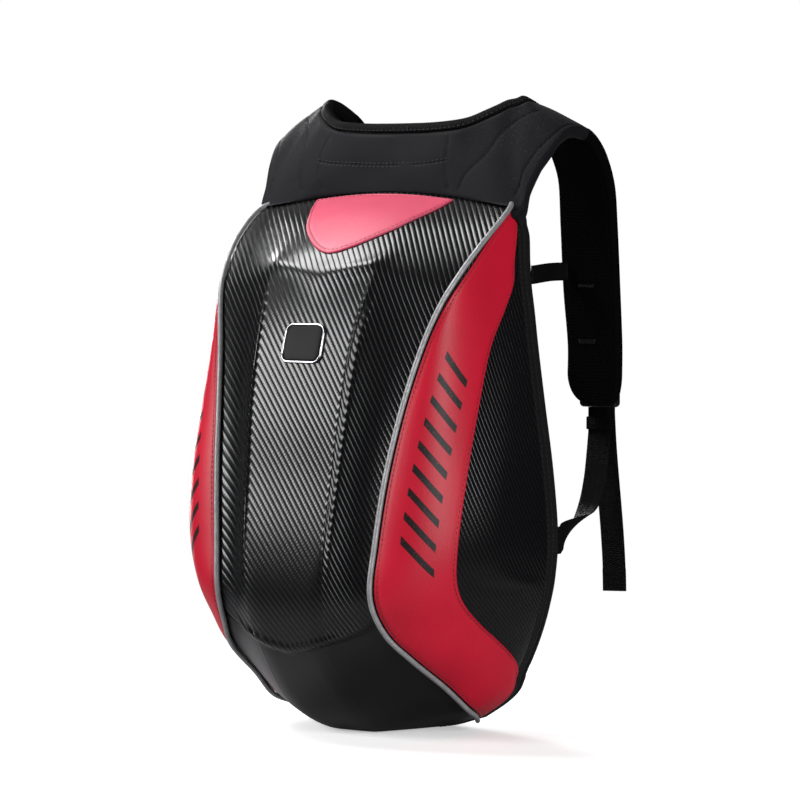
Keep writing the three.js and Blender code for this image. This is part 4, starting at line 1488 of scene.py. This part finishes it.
@dataclass
class RimBand:
    """What is sewn round the rim: the gusset, the corded edge and the padded back."""

    surface: ShellSurface
    gusset: float = 11.0
    wall: float = 3.0
    cord: float = 5.0
    proud: float = 1.0
    back_pad: float = 12.0
    inset: float = 2.0

    def loop(self, offset: float | Array, y: float | Array, count: int = 520) -> Array:
        """The rim's loop, moved outwards and back.

        Args:
            offset: how far outwards.
            y: where behind the rim plane.
            count: how many points.

        Returns:
            The points.
        """
        p, out = self.surface.rim(count)
        q = p + out * np.asarray(offset)[..., None]
        q[:, 1] = y
        if np.mean(offset) < 0:
            q[:, 2] = np.maximum(q[:, 2], -np.mean(offset))
        q[:, 2] = np.maximum(q[:, 2], 0)
        return q

    def ring(self, name: str, profile: list[tuple[float, float]], finish: Finish
             ) -> Object:
        """A closed band round the rim.

        Args:
            name: the object's name.
            profile: its section's corners, offset and y.
            finish: its finish.

        Returns:
            The object.
        """
        loops = np.stack([self.loop(o, y) for o, y in profile], 1)
        loops = np.concatenate([loops, loops[:1]])
        round_ = arc(np.array(profile)[None], 1)
        uv = np.stack(np.broadcast_arrays(round_, arc(loops[:, :1], 0)), -1)
        draft = Draft(name)
        draft.add_grid(loops, uv, wrap=True)
        return draft.finish(finish, sharp=40)

    def build(self) -> None:
        """Builds the band's pieces."""
        g, w = self.gusset, self.wall
        settle(self.ring("gusset_band_cloth", [
            (0.0, 0.02), (0.25, 1.2), (0.35, 3.0), (0.3, 5.6), (0.35, 8.2), (0.25, 10.2), (0.0, g),
            (-w, g), (-w, 0.02)], EDGE_CLOTH), Slot.CLOTH, "gusset_band")
        y, c = g + GAP, self.cord
        turn = np.linspace(-np.pi / 2, np.pi / 2, 9)
        bead = [(self.proud * 0.4 + 0.6 * np.cos(a), y + c / 2 + c / 2 * np.sin(a))
                for a in turn]
        settle(self.ring("edge_piping_cord", [*bead, (-w, y + c), (-w, y)], EDGE_CLOTH),
               Slot.CLOTH, "edge_piping")
        path = Path()
        for depth in (2.0, 9.2):
            path.add(self.loop(0.35, depth), self.surface.rim(520)[1], closed=True)
        settle(path.grow("gusset_stitches", stitch_tree(), BLACK_THREAD, Stitch=0.0036,
                         Space=0.0012, Thickness=0.0008), Slot.CLOTH)
        self.back()

    def back(self) -> Object:
        """Builds the padded back panel with its air channels."""
        low = self.gusset + 2 * GAP + self.cord
        edge = self.loop(-self.inset, low, 360)
        centre = np.array([0.0, low, 0.5 * self.surface.height])
        k = np.concatenate([np.linspace(1, 0.9, 9), np.linspace(0.885, 0.03, 58)])
        p = centre + (edge[None] - centre) * k[:, None, None]
        reach = np.linalg.norm(edge - centre, axis=1)
        near = (1 - k)[:, None] * reach[None]
        x, z = p[..., 0], p[..., 2]
        dome = np.sqrt(1 - (1 - np.clip(near / 14.0, 0, 1)) ** 2)
        groove = bell(x, 0, 7.0) * smoothstep(20, 45, near)
        for level in (115.0, 215.0, 315.0, 405.0):
            bow = level + 10 * np.cos(x / 60.0)
            groove = np.maximum(groove, bell(z, bow, 4.5) * smoothstep(16, 30, near))
        p[..., 1] = low + self.back_pad * (0.35 + 0.65 * dome) - 5.5 * groove * dome
        seam = bell(near, 12, 1.0)
        p[..., 1] -= 1.2 * seam
        p[0, :, 1] = low + 1.5
        draft = Draft("back_panel_pad")
        run = 0.03 * reach + arc(p[::-1], 0)[::-1]
        uv = unit(edge - centre)[None, :, [0, 2]] * run[..., None]
        # The value called seam carries painted shade along the sewn line near the edge and in the
        # air channels.
        a = draft.add_grid(p, uv, wrap=True, seam=np.maximum(seam, 0.5 * groove))
        foot = draft.add_points(edge)
        n = len(edge)
        draft.add_wall(a, foot, n)
        draft.add_fan(a + (len(k) - 1) * n, n, p[-1].mean(0))
        draft.add_fan(foot, n, centre)
        made = settle(draft.finish(BACK_MESH, sharp=60), Slot.MESH, "back_panel")
        return made


@dataclass(frozen=True)
class Harness:
    """The line of yoke and straps: outer edge, neck edge and base thickness, right half."""

    half: float = HALF
    reach: float = REACH
    height: float = HEIGHT
    rows: tuple[tuple[float, ...], ...] = (
        (0.000, -0.060, 0.985, 0.000, 0.014, 1.121, 43),
        (0.238, -0.066, 0.984, 0.206, 0.016, 1.122, 43),
        (0.440, -0.070, 0.980, 0.364, 0.025, 1.126, 43),
        (0.609, -0.085, 0.970, 0.450, 0.067, 1.133, 38),
        (0.788, -0.102, 0.946, 0.520, 0.117, 1.145, 30),
        (0.874, -0.063, 0.959, 0.569, 0.165, 1.155, 20),
        (0.884, -0.006, 0.999, 0.601, 0.219, 1.164, 14),
        (0.913, 0.073, 1.042, 0.628, 0.273, 1.168, 12),
        (0.946, 0.188, 1.080, 0.639, 0.324, 1.173, 12),
        (0.950, 0.318, 1.104, 0.632, 0.400, 1.168, 12),
        (0.946, 0.445, 1.111, 0.624, 0.475, 1.158, 12),
        (0.942, 0.556, 1.106, 0.612, 0.556, 1.143, 12),
        (0.944, 0.656, 1.089, 0.605, 0.640, 1.122, 12),
        (0.940, 0.762, 1.057, 0.594, 0.750, 1.078, 12),
        (0.931, 0.860, 1.004, 0.587, 0.852, 1.022, 12),
        (0.916, 0.917, 0.930, 0.567, 0.911, 0.934, 12),
        (0.914, 0.953, 0.809, 0.563, 0.953, 0.811, 12),
        (0.919, 0.968, 0.710, 0.583, 0.968, 0.710, 12),
        (0.919, 0.968, 0.652, 0.583, 0.968, 0.652, 12),
    )

    def sections(self, t: Array) -> dict[str, Array]:
        """Sections across the harness.

        Args:
            t: rows, negative on the left.

        Returns:
            low (edge points), across and out (directions), along, width and base.
        """
        def edges(at: Array) -> tuple[Array, Array, Array]:
            """Outer edge, neck edge and base.

            Args:
                at: rows, negative on the left.

            Returns:
                The three, one for each row.
            """
            r = through(np.array(self.rows), np.abs(at))
            scale = np.array([self.half, self.reach, self.height])
            low, neck = r[:, :3] * scale, r[:, 3:6] * scale
            flip = np.where(at < 0, -1.0, 1.0)
            low[:, 0] *= flip
            neck[:, 0] *= flip
            return low, neck, r[:, 6]

        low, neck, base = edges(t)
        a, b = edges(np.maximum(t - 0.1, -STRAP_END)), edges(np.minimum(t + 0.1, STRAP_END))
        along = unit((b[0] + b[1]) - (a[0] + a[1]))
        span = neck - low
        width = np.linalg.norm(span, axis=1)
        across = span / width[:, None]
        out = unit(np.cross(along, across))
        return {"low": low, "across": across, "out": out, "along": along, "width": width,
                "base": base}

    def face(self, t: Array, share: Array, lift: Array | float) -> tuple[Array, Array]:
        """Points on the visible face.

        Args:
            t: rows.
            share: 0 at the outer edge, 1 at the neck edge.
            lift: how far off the face.

        Returns:
            The points and the outward directions.
        """
        c = self.sections(t)
        p = c["low"] + c["across"] * (share * c["width"])[:, None] \
            + c["out"] * np.broadcast_to(lift, t.shape)[:, None]
        return p, c["out"]


def rounded(x: Array, width: Array, radius: float) -> Array:
    """How far a rounded edge falls back at x from either side of a strip."""
    near = np.minimum(x, width - x)
    k = 1 - np.clip(near / radius, 0, 1)
    return radius * (1 - np.sqrt(np.maximum(1 - k * k, 0)))


@dataclass
class Yoke:
    """The padded yoke with its seams and the binding along its neck edge."""

    harness: Harness
    surface: ShellSurface
    thick: float = 12.0
    binding: float = 9.0
    seams: tuple[tuple[tuple[float, float], ...], ...] = (
        ((2.10, 1.0), (1.90, 0.78), (1.80, 0.55), (1.76, 0.35), (1.80, 0.12)),
        ((-2.30, 1.0), (-2.60, 0.80), (-2.70, 0.62), (-2.55, 0.42), (-2.05, 0.13)),
        ((8.25, 0.60), (7.0, 0.68), (5.95, 0.71), (4.85, 0.72), (4.0, 0.63), (3.2, 0.46),
         (2.55, 0.30), (2.2, 0.12)),
        ((-8.25, 0.60), (-7.0, 0.68), (-5.95, 0.71), (-4.85, 0.72), (-4.2, 0.63), (-3.6, 0.46),
         (-3.3, 0.30), (-2.9, 0.14)),
        ((10.9, 0.10), (9.8, 0.09), (8.3, 0.13), (7.0, 0.17), (5.65, 0.19), (4.8, 0.16)),
        ((-10.9, 0.10), (-9.8, 0.09), (-8.3, 0.13), (-7.0, 0.17), (-5.65, 0.19), (-4.8, 0.16)),
        ((-2.62, 0.48), (-2.0, 0.45), (-1.2, 0.43), (-0.35, 0.415), (0.65, 0.42), (1.3, 0.445),
         (1.77, 0.475)),
    )

    def seam_points(self) -> Array:
        """Points close together along the seams on the yoke's face."""
        lines = []
        for row in self.seams:
            fine = through(np.array(row), np.linspace(0, len(row) - 1, 12 * len(row)))
            swell = 2.0 * np.sin(np.pi * fine[:, 1])
            lines.append(self.harness.face(fine[:, 0], fine[:, 1], swell)[0])
        return np.concatenate(lines)

    def away(self, points: Array) -> Array:
        """Distance from the nearest seam.

        Args:
            points: any array of points.

        Returns:
            One distance for each point.
        """
        lines = self.seam_points()
        flat = points.reshape(-1, 3)
        best = np.full(len(flat), 1e9)
        for k in range(0, len(lines), 40):
            d = np.linalg.norm(flat[:, None] - lines[None, k:k + 40], axis=-1).min(1)
            best = np.minimum(best, d)
        return best.reshape(points.shape[:-1])

    def pad(self) -> Object:
        """Builds the yoke's padded body, seated on the crown."""
        t = np.linspace(-YOKE_END, YOKE_END, 331)
        c = self.harness.sections(t)
        width = (c["width"] - self.binding - 2 * GAP)[:, None]
        angle = np.linspace(0, np.pi, 52)
        share = (0.5 - 0.5 * np.cos(angle)) * 0.35 + np.linspace(0, 1, 52) * 0.65
        x = share[None] * width
        front = 2.0 * np.sin(np.pi * x / width) - rounded(x, width, 4.0)
        deep = self.thick + (np.maximum(c["base"], self.thick) - self.thick)[:, None] \
            * (1 - share[None]) ** 3
        low, across, out = (c[k][:, None] for k in ("low", "across", "out"))
        face = low + across * x[..., None] + out * front[..., None]
        gap = self.away(face)
        inside = smoothstep(0, 6, np.minimum(x, width - x))
        lift = (-1.1 * bell(gap, 0, 0.75) + 0.5 * (1 - np.exp(-gap / 9.0))) * inside
        wave = 0.5 * np.sin(t * 2.3)[:, None] * np.sin(share[None] * 5.0) * inside
        face = face + out * (lift + wave)[..., None]
        back = (low + across * x[..., None]
                + out * (-deep + rounded(x, width, 4.0))[..., None])[:, ::-1]
        rings = np.concatenate([face, back], 1)
        # The value called seam paints shade along the seam grooves of the face.
        seam = np.concatenate([bell(gap, 0, 0.85), np.zeros_like(gap)], 1)
        rings = self.seated(rings)
        far = arc(rings, 0)[:, [26]] * np.ones((1, rings.shape[1]))
        uv = np.stack([far, np.concatenate([x, x[:, ::-1]], 1)], -1)
        draft = Draft("yoke_pad")
        draft.add_tube(rings, uv, seam=seam)
        made = settle(draft.finish(YOKE_CLOTH, sharp=70), Slot.CLOTH, "yoke")
        return made

    def seated(self, rings: Array) -> Array:
        """Lifts the points that would lie in the shell up onto it.

        Args:
            rings: sections of points.

        Returns:
            The lifted sections.
        """
        flat = rings.reshape(-1, 3).copy()
        for k, (x, y, z) in enumerate(flat):
            if z > 500 or abs(x) > 140:
                continue
            found = self.surface.hit(np.array([x, min(y, -0.5), ABOVE]), (0, 0, -1))
            if found is not None and y < BACK_Y + self.thick:
                clear = 0.6 + 1.8 * float(smoothstep(95, 110, abs(x)))
                flat[k, 2] = max(z, found[0][2] + clear)
        return flat.reshape(rings.shape)

    def binding_tape(self) -> Object:
        """Builds the ribbed tape along the neck edge."""
        t = np.linspace(-YOKE_END, YOKE_END, 331)
        c = self.harness.sections(t)
        h, d = self.binding, self.thick
        profile = np.array([
            (0.0, -1.6), (0.15, -0.5), (0.8, 0.15), (2.5, 0.35), (4.5, 0.3), (6.3, -0.05),
            (7.9, -1.2), (8.8, -3.2), (h, -5.0), (h, -d + 5.0), (8.8, -d + 3.2), (7.9, -d + 1.2),
            (6.3, -d + 0.05), (4.5, -d - 0.3), (2.5, -d - 0.3), (0.8, -d - 0.1), (0.15, -d + 0.5),
            (0.0, -d + 1.6)])
        start = (c["width"] - h)[:, None] + profile[None, :, 0]
        rings = c["low"][:, None] + c["across"][:, None] * start[..., None] \
            + c["out"][:, None] * profile[None, :, 1][..., None]
        round_ = arc(profile[None], 1)
        uv = np.stack(np.broadcast_arrays(round_, arc(rings, 0)[:, [8]]), -1)
        draft = Draft("neck_binding_tape")
        draft.add_tube(rings, uv)
        return settle(draft.finish(BINDING, sharp=60), Slot.WEBBING, "neck_binding")

    def sewing(self) -> None:
        """Adds the double row of stitches, the binding's row and its bartack."""
        row = np.array(self.seams[-1])
        fine = through(row, np.linspace(0, len(row) - 1, 120))
        path = Path()
        for shift in (-1.6, 1.6):
            c = self.harness.sections(fine[:, 0])
            share = fine[:, 1] + shift / c["width"]
            path.add(*self.harness.face(fine[:, 0], share,
                                        2.0 * np.sin(np.pi * share) + 0.25))
        t = np.linspace(-10.9, 10.9, 500)
        c = self.harness.sections(t)
        share = 1 - (self.binding - 1.5) / c["width"]
        path.add(*self.harness.face(t, share, 0.45))
        settle(path.grow("yoke_stitches", stitch_tree(), BLACK_THREAD, Stitch=0.0032,
                         Space=0.0014, Thickness=0.0008), Slot.CLOTH)
        tack = Path()
        n = 34
        t = np.linspace(-0.10, 0.48, n)
        c = self.harness.sections(t)
        share = 1 - (self.binding - 2.4 - 2.6 * (np.arange(n) % 2)) / c["width"]
        tack.add(*self.harness.face(t, share, 0.5))
        settle(tack.grow("neck_bartack", cord_tree(), GREY_THREAD, Radius=0.0003, Sides=6),
               Slot.CLOTH)

    def build(self) -> None:
        """Builds the yoke's pieces."""
        self.pad()
        self.binding_tape()
        self.sewing()


@dataclass
class ShoulderStrap:
    """A padded shoulder strap with its lock and webbings, on one side."""

    harness: Harness
    side: Side
    thick: float = 12.0
    end: float = 29.0
    end_inner: float = 23.0
    end_outer: float = 9.0
    webbing: float = 25.0
    sheet: float = 1.6
    stabilizer: float = 17.0
    lock_level: float = 0.617
    keeper_level: float = 0.555
    tail_end: float = 0.236
    tail_lean: float = 13.0
    lock_thick: float = 9.0
    lock_size: tuple[float, float] = (40.0, 31.0)
    slot_size: tuple[float, float] = (27.0, 8.0)
    slot_up: float = 6.5
    seam_in: float = 5.4
    lower_run: tuple[tuple[float, ...], ...] = (
        (0.742, 0.985, 0.500, 0), (0.748, 0.945, 0.452, 0), (0.757, 0.875, 0.411, 0.1),
        (0.775, 0.750, 0.380, 0.3), (0.825, 0.530, 0.364, 0.7), (0.900, 0.330, 0.358, 1))

    @property
    def lock_x(self) -> float:
        """The lock's middle line, right side."""
        return 0.738 * self.harness.half

    @property
    def lock_y(self) -> float:
        """The lock's front face."""
        return 0.968 * self.harness.reach + 2.0 + GAP

    def flip(self, points: Array) -> Array:
        """Brings points of the right side to this side."""
        return points * [self.side.value, 1, 1]

    def pad(self) -> Object:
        """Builds the padded strap with its sewn edge."""
        t = np.linspace(YOKE_END, STRAP_END, 150)
        c = self.harness.sections(t)
        low, across, out, along = (c[k] for k in ("low", "across", "out", "along"))
        width = c["width"].copy()
        low = low.copy()
        low[0] += along[0] * GAP
        reach = np.linspace(0.08, 1, 22)
        cut_in = self.end_inner * (1 - np.sqrt(1 - reach ** 2 * 0.992))
        cut_out = self.end_outer * (1 - np.sqrt(1 - reach ** 2 * 0.992))
        tip = low[-1] + along[-1] * (reach * self.end)[:, None] + across[-1] * cut_out[:, None]
        low = np.concatenate([low, tip])
        width = np.concatenate([width, width[-1] - cut_in - cut_out])
        across, out = (np.concatenate([a, np.repeat(a[-1:], len(reach), 0)])
                       for a in (across, out))
        share = 0.5 - 0.5 * np.cos(np.linspace(0, np.pi, 36))
        w = width[:, None]
        x = share[None] * w
        edge = np.minimum(x, w - x)
        flat = 2.0 * np.sin(np.pi * share)[None] - rounded(x, w, 4.2)
        rib = 0.9 * bell(edge, 2.2, 1.6) - 1.2 * bell(edge, self.seam_in, 1.0)
        length = arc(low[:, None], 0)
        plump = 0.7 * smoothstep(6, 16, edge)
        crease = -0.5 * bell((length + 3 * share[None]) % 46, 23, 3.0) \
            * smoothstep(8, 20, edge)
        face_lift = flat + rib + plump + crease
        back_lift = -self.thick + rounded(x, w, 4.2) - 0.5 * np.sin(np.pi * share)[None] \
            + 0.8 * bell(edge, self.seam_in, 1.0)
        base = low[:, None] + across[:, None] * x[..., None]
        face = base + out[:, None] * face_lift[..., None]
        back = (base + out[:, None] * back_lift[..., None])[:, ::-1]
        rings = self.flip(np.concatenate([face, back], 1))
        # The value called seam paints shade along the groove where the edge is sewn.
        seam = bell(edge, self.seam_in, 0.9)
        seam = np.concatenate([seam, seam[:, ::-1]], 1)
        far = length * np.ones((1, rings.shape[1]))
        uv = np.stack([np.concatenate([x, x[:, ::-1]], 1), far], -1)
        draft = Draft(f"strap_pad_{self.side.label}_mesh")
        draft.add_tube(rings, uv, seam=seam)
        made = settle(draft.finish(PAD_MESH, sharp=70), Slot.CLOTH,
                      f"strap_pad_{self.side.label}")
        return made

    def ribbon(self, name: str, line: Array, turns: Array, width: float,
               thick: float | Array, packed: bool = True) -> Object:
        """Builds a flat strip of webbing with soft edges.

        Args:
            name: its name without the side.
            line: its middle line.
            turns: 0 lays its width along x, 1 stands it upright.
            width: its width.
            thick: its thickness.
            packed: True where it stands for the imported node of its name.

        Returns:
            The piece.
        """
        along = unit(np.gradient(line, axis=0))
        angle = np.asarray(turns) * np.pi / 2
        side = np.stack([np.cos(angle), 0 * angle, np.sin(angle)], -1)
        side = unit(side - along * (side * along).sum(1, keepdims=True))
        up = np.cross(along, side)
        u = np.array([-1, -0.97, -0.6, -0.2, 0.2, 0.6, 0.97, 1,
                      1, 0.97, 0.6, 0.2, -0.2, -0.6, -0.97, -1])
        v = np.array([-0.45, -0.9, -1, -1, -1, -1, -0.9, -0.45,
                      0.45, 0.9, 1, 1, 1, 1, 0.9, 0.45])
        w, d = (np.broadcast_to(size, (len(line),))[:, None] / 2 for size in (width, thick))
        rings = line[:, None] + side[:, None] * (u[None] * w)[..., None] \
            + up[:, None] * (v[None] * d)[..., None]
        far = arc(line[:, None], 0)
        uv = np.stack(np.broadcast_arrays(u[None] * w, far), -1)
        draft = Draft(f"{name}_{self.side.label}_tape")
        draft.add_tube(self.flip(rings), uv)
        return settle(draft.finish(WEBBING, sharp=60), Slot.WEBBING,
                      *([f"{name}_{self.side.label}"] if packed else []))

    def tack(self, path: Path, middle: Array, across: Array, down: Array, up: Array,
             size: tuple[float, float], turns: int) -> None:
        """Adds a bartack's zigzag to a path.

        Args:
            path: the path.
            middle: its middle.
            across: its length's direction.
            down: its width's direction.
            up: the outward direction.
            size: length and width.
            turns: how many points.
        """
        k = np.linspace(-0.5, 0.5, turns)
        zig = np.where(np.arange(turns) % 2, 0.5, -0.5)
        line = middle + across * (k * size[0])[:, None] + down * (zig * size[1])[:, None]
        path.add(self.flip(line), self.flip(up[None])[0])

    def webbings(self) -> None:
        """Builds the lower webbing, its keeper, the loose tail and the stabilizer."""
        h, r, z = self.harness.half, self.harness.reach, self.harness.height
        lock_low = self.lock_level * z - self.lock_size[1] / 2
        web_y = self.lock_y + self.lock_thick / 2
        sewn_y = BACK_Y + GAP
        rows = np.concatenate([
            [(self.lock_x, web_y, self.keeper_level * z - 8, 0)],
            np.array(self.lower_run) * [h, r, z, 1],
            [(0.952 * h, sewn_y + 6, 0.354 * z, 1), (0.952 * h, sewn_y, 0.354 * z, 1)]])
        fine = through(rows[:-1], np.linspace(0, len(rows) - 2, 90))
        first = np.array([(self.lock_x, web_y, v, 0) for v in
                          np.linspace(lock_low - GAP, rows[0, 2] + 1, 12)])
        fine = np.concatenate([first, fine, rows[-1:]])
        self.ribbon("lower_webbing", fine[:, :3], fine[:, 3], self.webbing, self.sheet)
        self.keeper(web_y)
        self.tail(lock_low)
        rear = (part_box(f"stabilizer_{self.side.label}")[1].y * 1000) - RIM_Y
        line = np.array([
            (0.786 * h, sewn_y, 0.840 * z), (0.786 * h, sewn_y + 4, 0.840 * z),
            (0.720 * h, 0.420 * r, 0.842 * z), (0.645 * h, 0.640 * r, 0.843 * z),
            (0.610 * h, rear - 4, 0.843 * z), (0.610 * h, rear, 0.843 * z)])
        fine = through(line, np.linspace(0, len(line) - 1, 60))
        self.ribbon("stabilizer", fine, np.ones(len(fine)), self.stabilizer, self.sheet)

    def keeper(self, web_y: float) -> Object:
        """Builds the short sleeve round the lower webbing.

        Args:
            web_y: the webbing's place in y.

        Returns:
            The piece.
        """
        half_x, half_y = self.webbing / 2 + GAP, self.sheet / 2 + GAP
        angle = np.linspace(0, 2 * np.pi, 48, endpoint=False)
        corner = np.stack([np.sign(np.cos(angle)) * np.abs(np.cos(angle)) ** 0.18,
                           np.sign(np.sin(angle)) * np.abs(np.sin(angle)) ** 0.35], -1)
        mid = self.keeper_level * self.harness.height
        profile = [(0.0, -6.0), (1.0, -6.0), (1.2, -5.2), (1.2, 5.2), (1.0, 6.0), (0.0, 6.0)]
        rings = []
        for grow, dz in profile:
            xy = corner * [half_x + grow, half_y + grow]
            rings.append(np.stack([self.lock_x + xy[:, 0], web_y + xy[:, 1],
                                   np.full(48, mid + dz)], -1))
        rings = np.stack(rings + rings[:1])
        round_ = np.array([0, 1, 2.1, 12.5, 13.3, 14.3, 26.0])
        uv = np.stack(np.broadcast_arrays((angle * 8)[None], round_[:, None]), -1)
        draft = Draft(f"strap_keeper_{self.side.label}_tape")
        draft.add_grid(self.flip(rings), uv, wrap=True)
        return settle(draft.finish(WEBBING, sharp=50), Slot.WEBBING,
                      f"strap_keeper_{self.side.label}")

    def tail(self, lock_low: float) -> Object:
        """Builds the loose webbing that hangs from the lock, its end folded and sewn.

        Args:
            lock_low: the lock's lower edge.

        Returns:
            The piece.
        """
        z = self.harness.height
        y = self.lock_y + self.lock_thick + GAP + self.sheet
        top, low = lock_low + self.lock_size[1], self.tail_end * z
        level = np.concatenate([np.linspace(top, lock_low, 10),
                                np.linspace(lock_low - 2, low, 70)])
        share = np.clip((lock_low - level) / (lock_low - low), 0, 1)
        sway = 0.5 * share + 0.5 * smoothstep(0.1, 0.95, share)
        line = np.stack([self.lock_x + self.tail_lean * sway,
                         y + 1.5 * np.sin(share * np.pi), level], -1)
        thick = np.where((level > lock_low - 3) | (level < low + 20), self.sheet * 2, self.sheet)
        return self.ribbon("tail_webbing", line, 0 * level, self.webbing, thick)

    def lock(self) -> Object:
        """Builds the ladder lock: a rounded plate with two slots."""
        work = bmesh.new()
        mid = self.lock_level * self.harness.height

        def loop(w: float, h: float, dz: float, radius: float) -> list[bmesh.types.BMVert]:
            """Adds a rounded rectangle in the front plane.

            Args:
                w: its width.
                h: its height.
                dz: its middle over the lock's middle.
                radius: its corners' radius.

            Returns:
                Its points.
            """
            angle = np.linspace(0, 2 * np.pi, 32, endpoint=False) + np.pi / 32
            x = np.sign(np.cos(angle)) * (w / 2 - radius) + radius * np.cos(angle)
            v = np.sign(np.sin(angle)) * (h / 2 - radius) + radius * np.sin(angle)
            points = self.flip(np.stack([self.lock_x + x, np.full(32, self.lock_y),
                                         mid + dz + v], -1))
            return [work.verts.new(p) for p in metres(points)]

        edges = []
        for ring in (loop(*self.lock_size, 0, 4.5), loop(*self.slot_size, self.slot_up, 1.6),
                     loop(*self.slot_size, -self.slot_up, 1.6)):
            edges += [work.edges.new((ring[k], ring[(k + 1) % 32])) for k in range(32)]
        bmesh.ops.triangle_fill(work, use_beauty=True, use_dissolve=False, edges=edges)
        grown = bmesh.ops.extrude_face_region(work, geom=list(work.faces))
        moved = [v for v in grown["geom"] if isinstance(v, bmesh.types.BMVert)]
        bmesh.ops.translate(work, verts=moved, vec=(0, self.lock_thick * 0.001, 0))
        bmesh.ops.recalc_face_normals(work, faces=work.faces)
        mesh = bpy.data.meshes.new(f"ladder_lock_{self.side.label}_plate")
        work.to_mesh(mesh)
        work.free()
        made = placed(mesh, mesh.name, dressed(BUCKLE), 40)
        soft = made.modifiers.new("soft_edges", "BEVEL")
        soft.width, soft.segments, soft.limit_method = 0.0011, 3, "ANGLE"
        return settle(made, Slot.BUCKLE, f"ladder_lock_{self.side.label}")

    def share_at(self, t: Array, x: float) -> Array:
        """The share across the pad at which a point with this x lies."""
        c = self.harness.sections(t)
        return (x - c["low"][:, 0]) / (c["across"][:, 0] * c["width"])

    def anchor(self) -> None:
        """Adds the webbing sewn to the outer face that holds the lock, and the bartacks."""
        t = np.linspace(15.75, STRAP_END, 50)
        line = self.harness.face(t, self.share_at(t, self.lock_x), 3.1)[0]
        self.ribbon("lock_anchor", line, 0 * t, self.webbing - 1, 1.2, packed=False)
        tacks = Path()
        for row, size in ((15.93, (17.0, 2.2)), (16.98, (17.0, 4.0))):
            at = np.array([row])
            c = self.harness.sections(at)
            share = self.share_at(at, self.lock_x - 2.0)
            middle = self.harness.face(at, share, -self.thick - 0.75)[0]
            self.tack(tacks, middle[0], c["across"][0], c["along"][0], -c["out"][0], size, 27)
        settle(tacks.grow(f"strap_bartacks_{self.side.label}", cord_tree(), BLACK_THREAD,
                          Radius=0.00035, Sides=6), Slot.CLOTH)

    def build(self) -> None:
        """Builds the strap's pieces."""
        self.pad()
        self.lock()
        self.webbings()
        self.anchor()


@dataclass
class Studio:
    """Floor, lights and camera; lens and middle are in pixels of the photograph."""

    lens_pixels: float = 3815.0
    eye: tuple[float, float, float] = (2004.766, -2903.103, 473.176)
    back: tuple[float, float, float] = (0.572790, -0.818029, 0.052336)
    right: tuple[float, float, float] = (0.819152, 0.573576, 0.0)
    up: tuple[float, float, float] = (-0.030019, 0.042871, 0.998630)
    middle: tuple[float, float] = (369.22, 413.44)
    pixels: int = 800
    sensor: float = 36.0
    softboxes: tuple[tuple[str, tuple[float, ...], tuple[float, float], float], ...] = (
        ("softbox_top", (-1.05, -0.2, 1.95), (0.9, 0.9), 35),
        ("softbox_left", (-1.46, -1.74, 1.03), (0.52, 1.3), 42),
        ("softbox_rim", (-1.6, 1.15, 0.65), (0.7, 1.2), 58),
        ("softbox_right", (1.95, -0.75, 0.55), (0.9, 1.1), 34))

    def camera(self) -> Object:
        """Aims the camera along the photograph's line of sight."""
        data = bpy.data.cameras.new("photo_camera")
        data.sensor_width = self.sensor
        data.lens = self.lens_pixels / self.pixels * self.sensor
        data.clip_end = 100
        made = bpy.data.objects.new("photo_camera", data)
        bpy.context.scene.collection.objects.link(made)
        made.location = metres(np.array(self.eye))
        sight = (-np.array(self.back) * self.lens_pixels
                 + np.array(self.right) * (self.pixels / 2 - self.middle[0])
                 + np.array(self.up) * (self.middle[1] - self.pixels / 2))
        made.rotation_euler = Vector(sight).to_track_quat("-Z", "Y").to_euler()
        bpy.context.scene.camera = made
        return made

    def softbox(self, name: str, place: tuple[float, float, float], size: tuple[float, float],
                power: float) -> Object:
        """Hangs a soft light that looks at the backpack.

        Args:
            name: its name.
            place: where it hangs, in metres.
            size: width and height.
            power: its power in watts.

        Returns:
            The light.
        """
        data = bpy.data.lights.new(name, "AREA")
        data.shape, data.size, data.size_y, data.energy = "RECTANGLE", size[0], size[1], power
        made = bpy.data.objects.new(name, data)
        bpy.context.scene.collection.objects.link(made)
        made.location = place
        aim = Vector((0, 0, 0.3)) - Vector(place)
        made.rotation_euler = aim.to_track_quat("-Z", "Y").to_euler()
        return made

    def world(self) -> None:
        """White behind, nearly black for what the surfaces mirror."""
        world = bpy.data.worlds.new("studio")
        bpy.context.scene.world = world
        world.use_nodes = True
        w = Wiring(world.node_tree)
        seen = w.node("ShaderNodeLightPath").outputs["Is Camera Ray"]
        shade = world.node_tree.nodes["Background"]
        w.feed(shade.inputs["Color"], w.tint(seen, (0.012, 0.012, 0.013, 1), (1, 1, 1, 1)))

    def floor(self) -> Object:
        """Lays the pale floor."""
        mesh = bpy.data.meshes.new("studio_floor")
        n, size = 96, 1.3
        ring = [(size * math.cos(2 * math.pi * k / n), size * math.sin(2 * math.pi * k / n), 0)
                for k in range(n)]
        mesh.from_pydata(ring + [(0, 0, 0)], [], [(k, (k + 1) % n, n) for k in range(n)])
        made = placed(mesh, "studio_floor", dressed(PAPER))
        return made

    def build(self) -> None:
        """Sets the scene up."""
        scene = bpy.context.scene
        scene.view_settings.view_transform = "Standard"
        scene.view_settings.look = "None"
        self.camera()
        self.world()
        self.floor()
        for box in self.softboxes:
            self.softbox(*box)


def main() -> None:
    """Builds the backpack piece by piece, then the studio."""
    logging.basicConfig(level=logging.INFO, format="%(name)s: %(message)s")
    surface, harness = ShellSurface(), Harness()
    MouldedShell(surface).build()
    for side in Side:
        FlankTrim(surface, side).build()
    CrownPanel(surface).build()
    Badge(surface).build()
    RimBand(surface).build()
    Yoke(harness, surface).build()
    for side in Side:
        ShoulderStrap(harness, side).build()
    Studio().build()


if __name__ == "__main__":
    main()
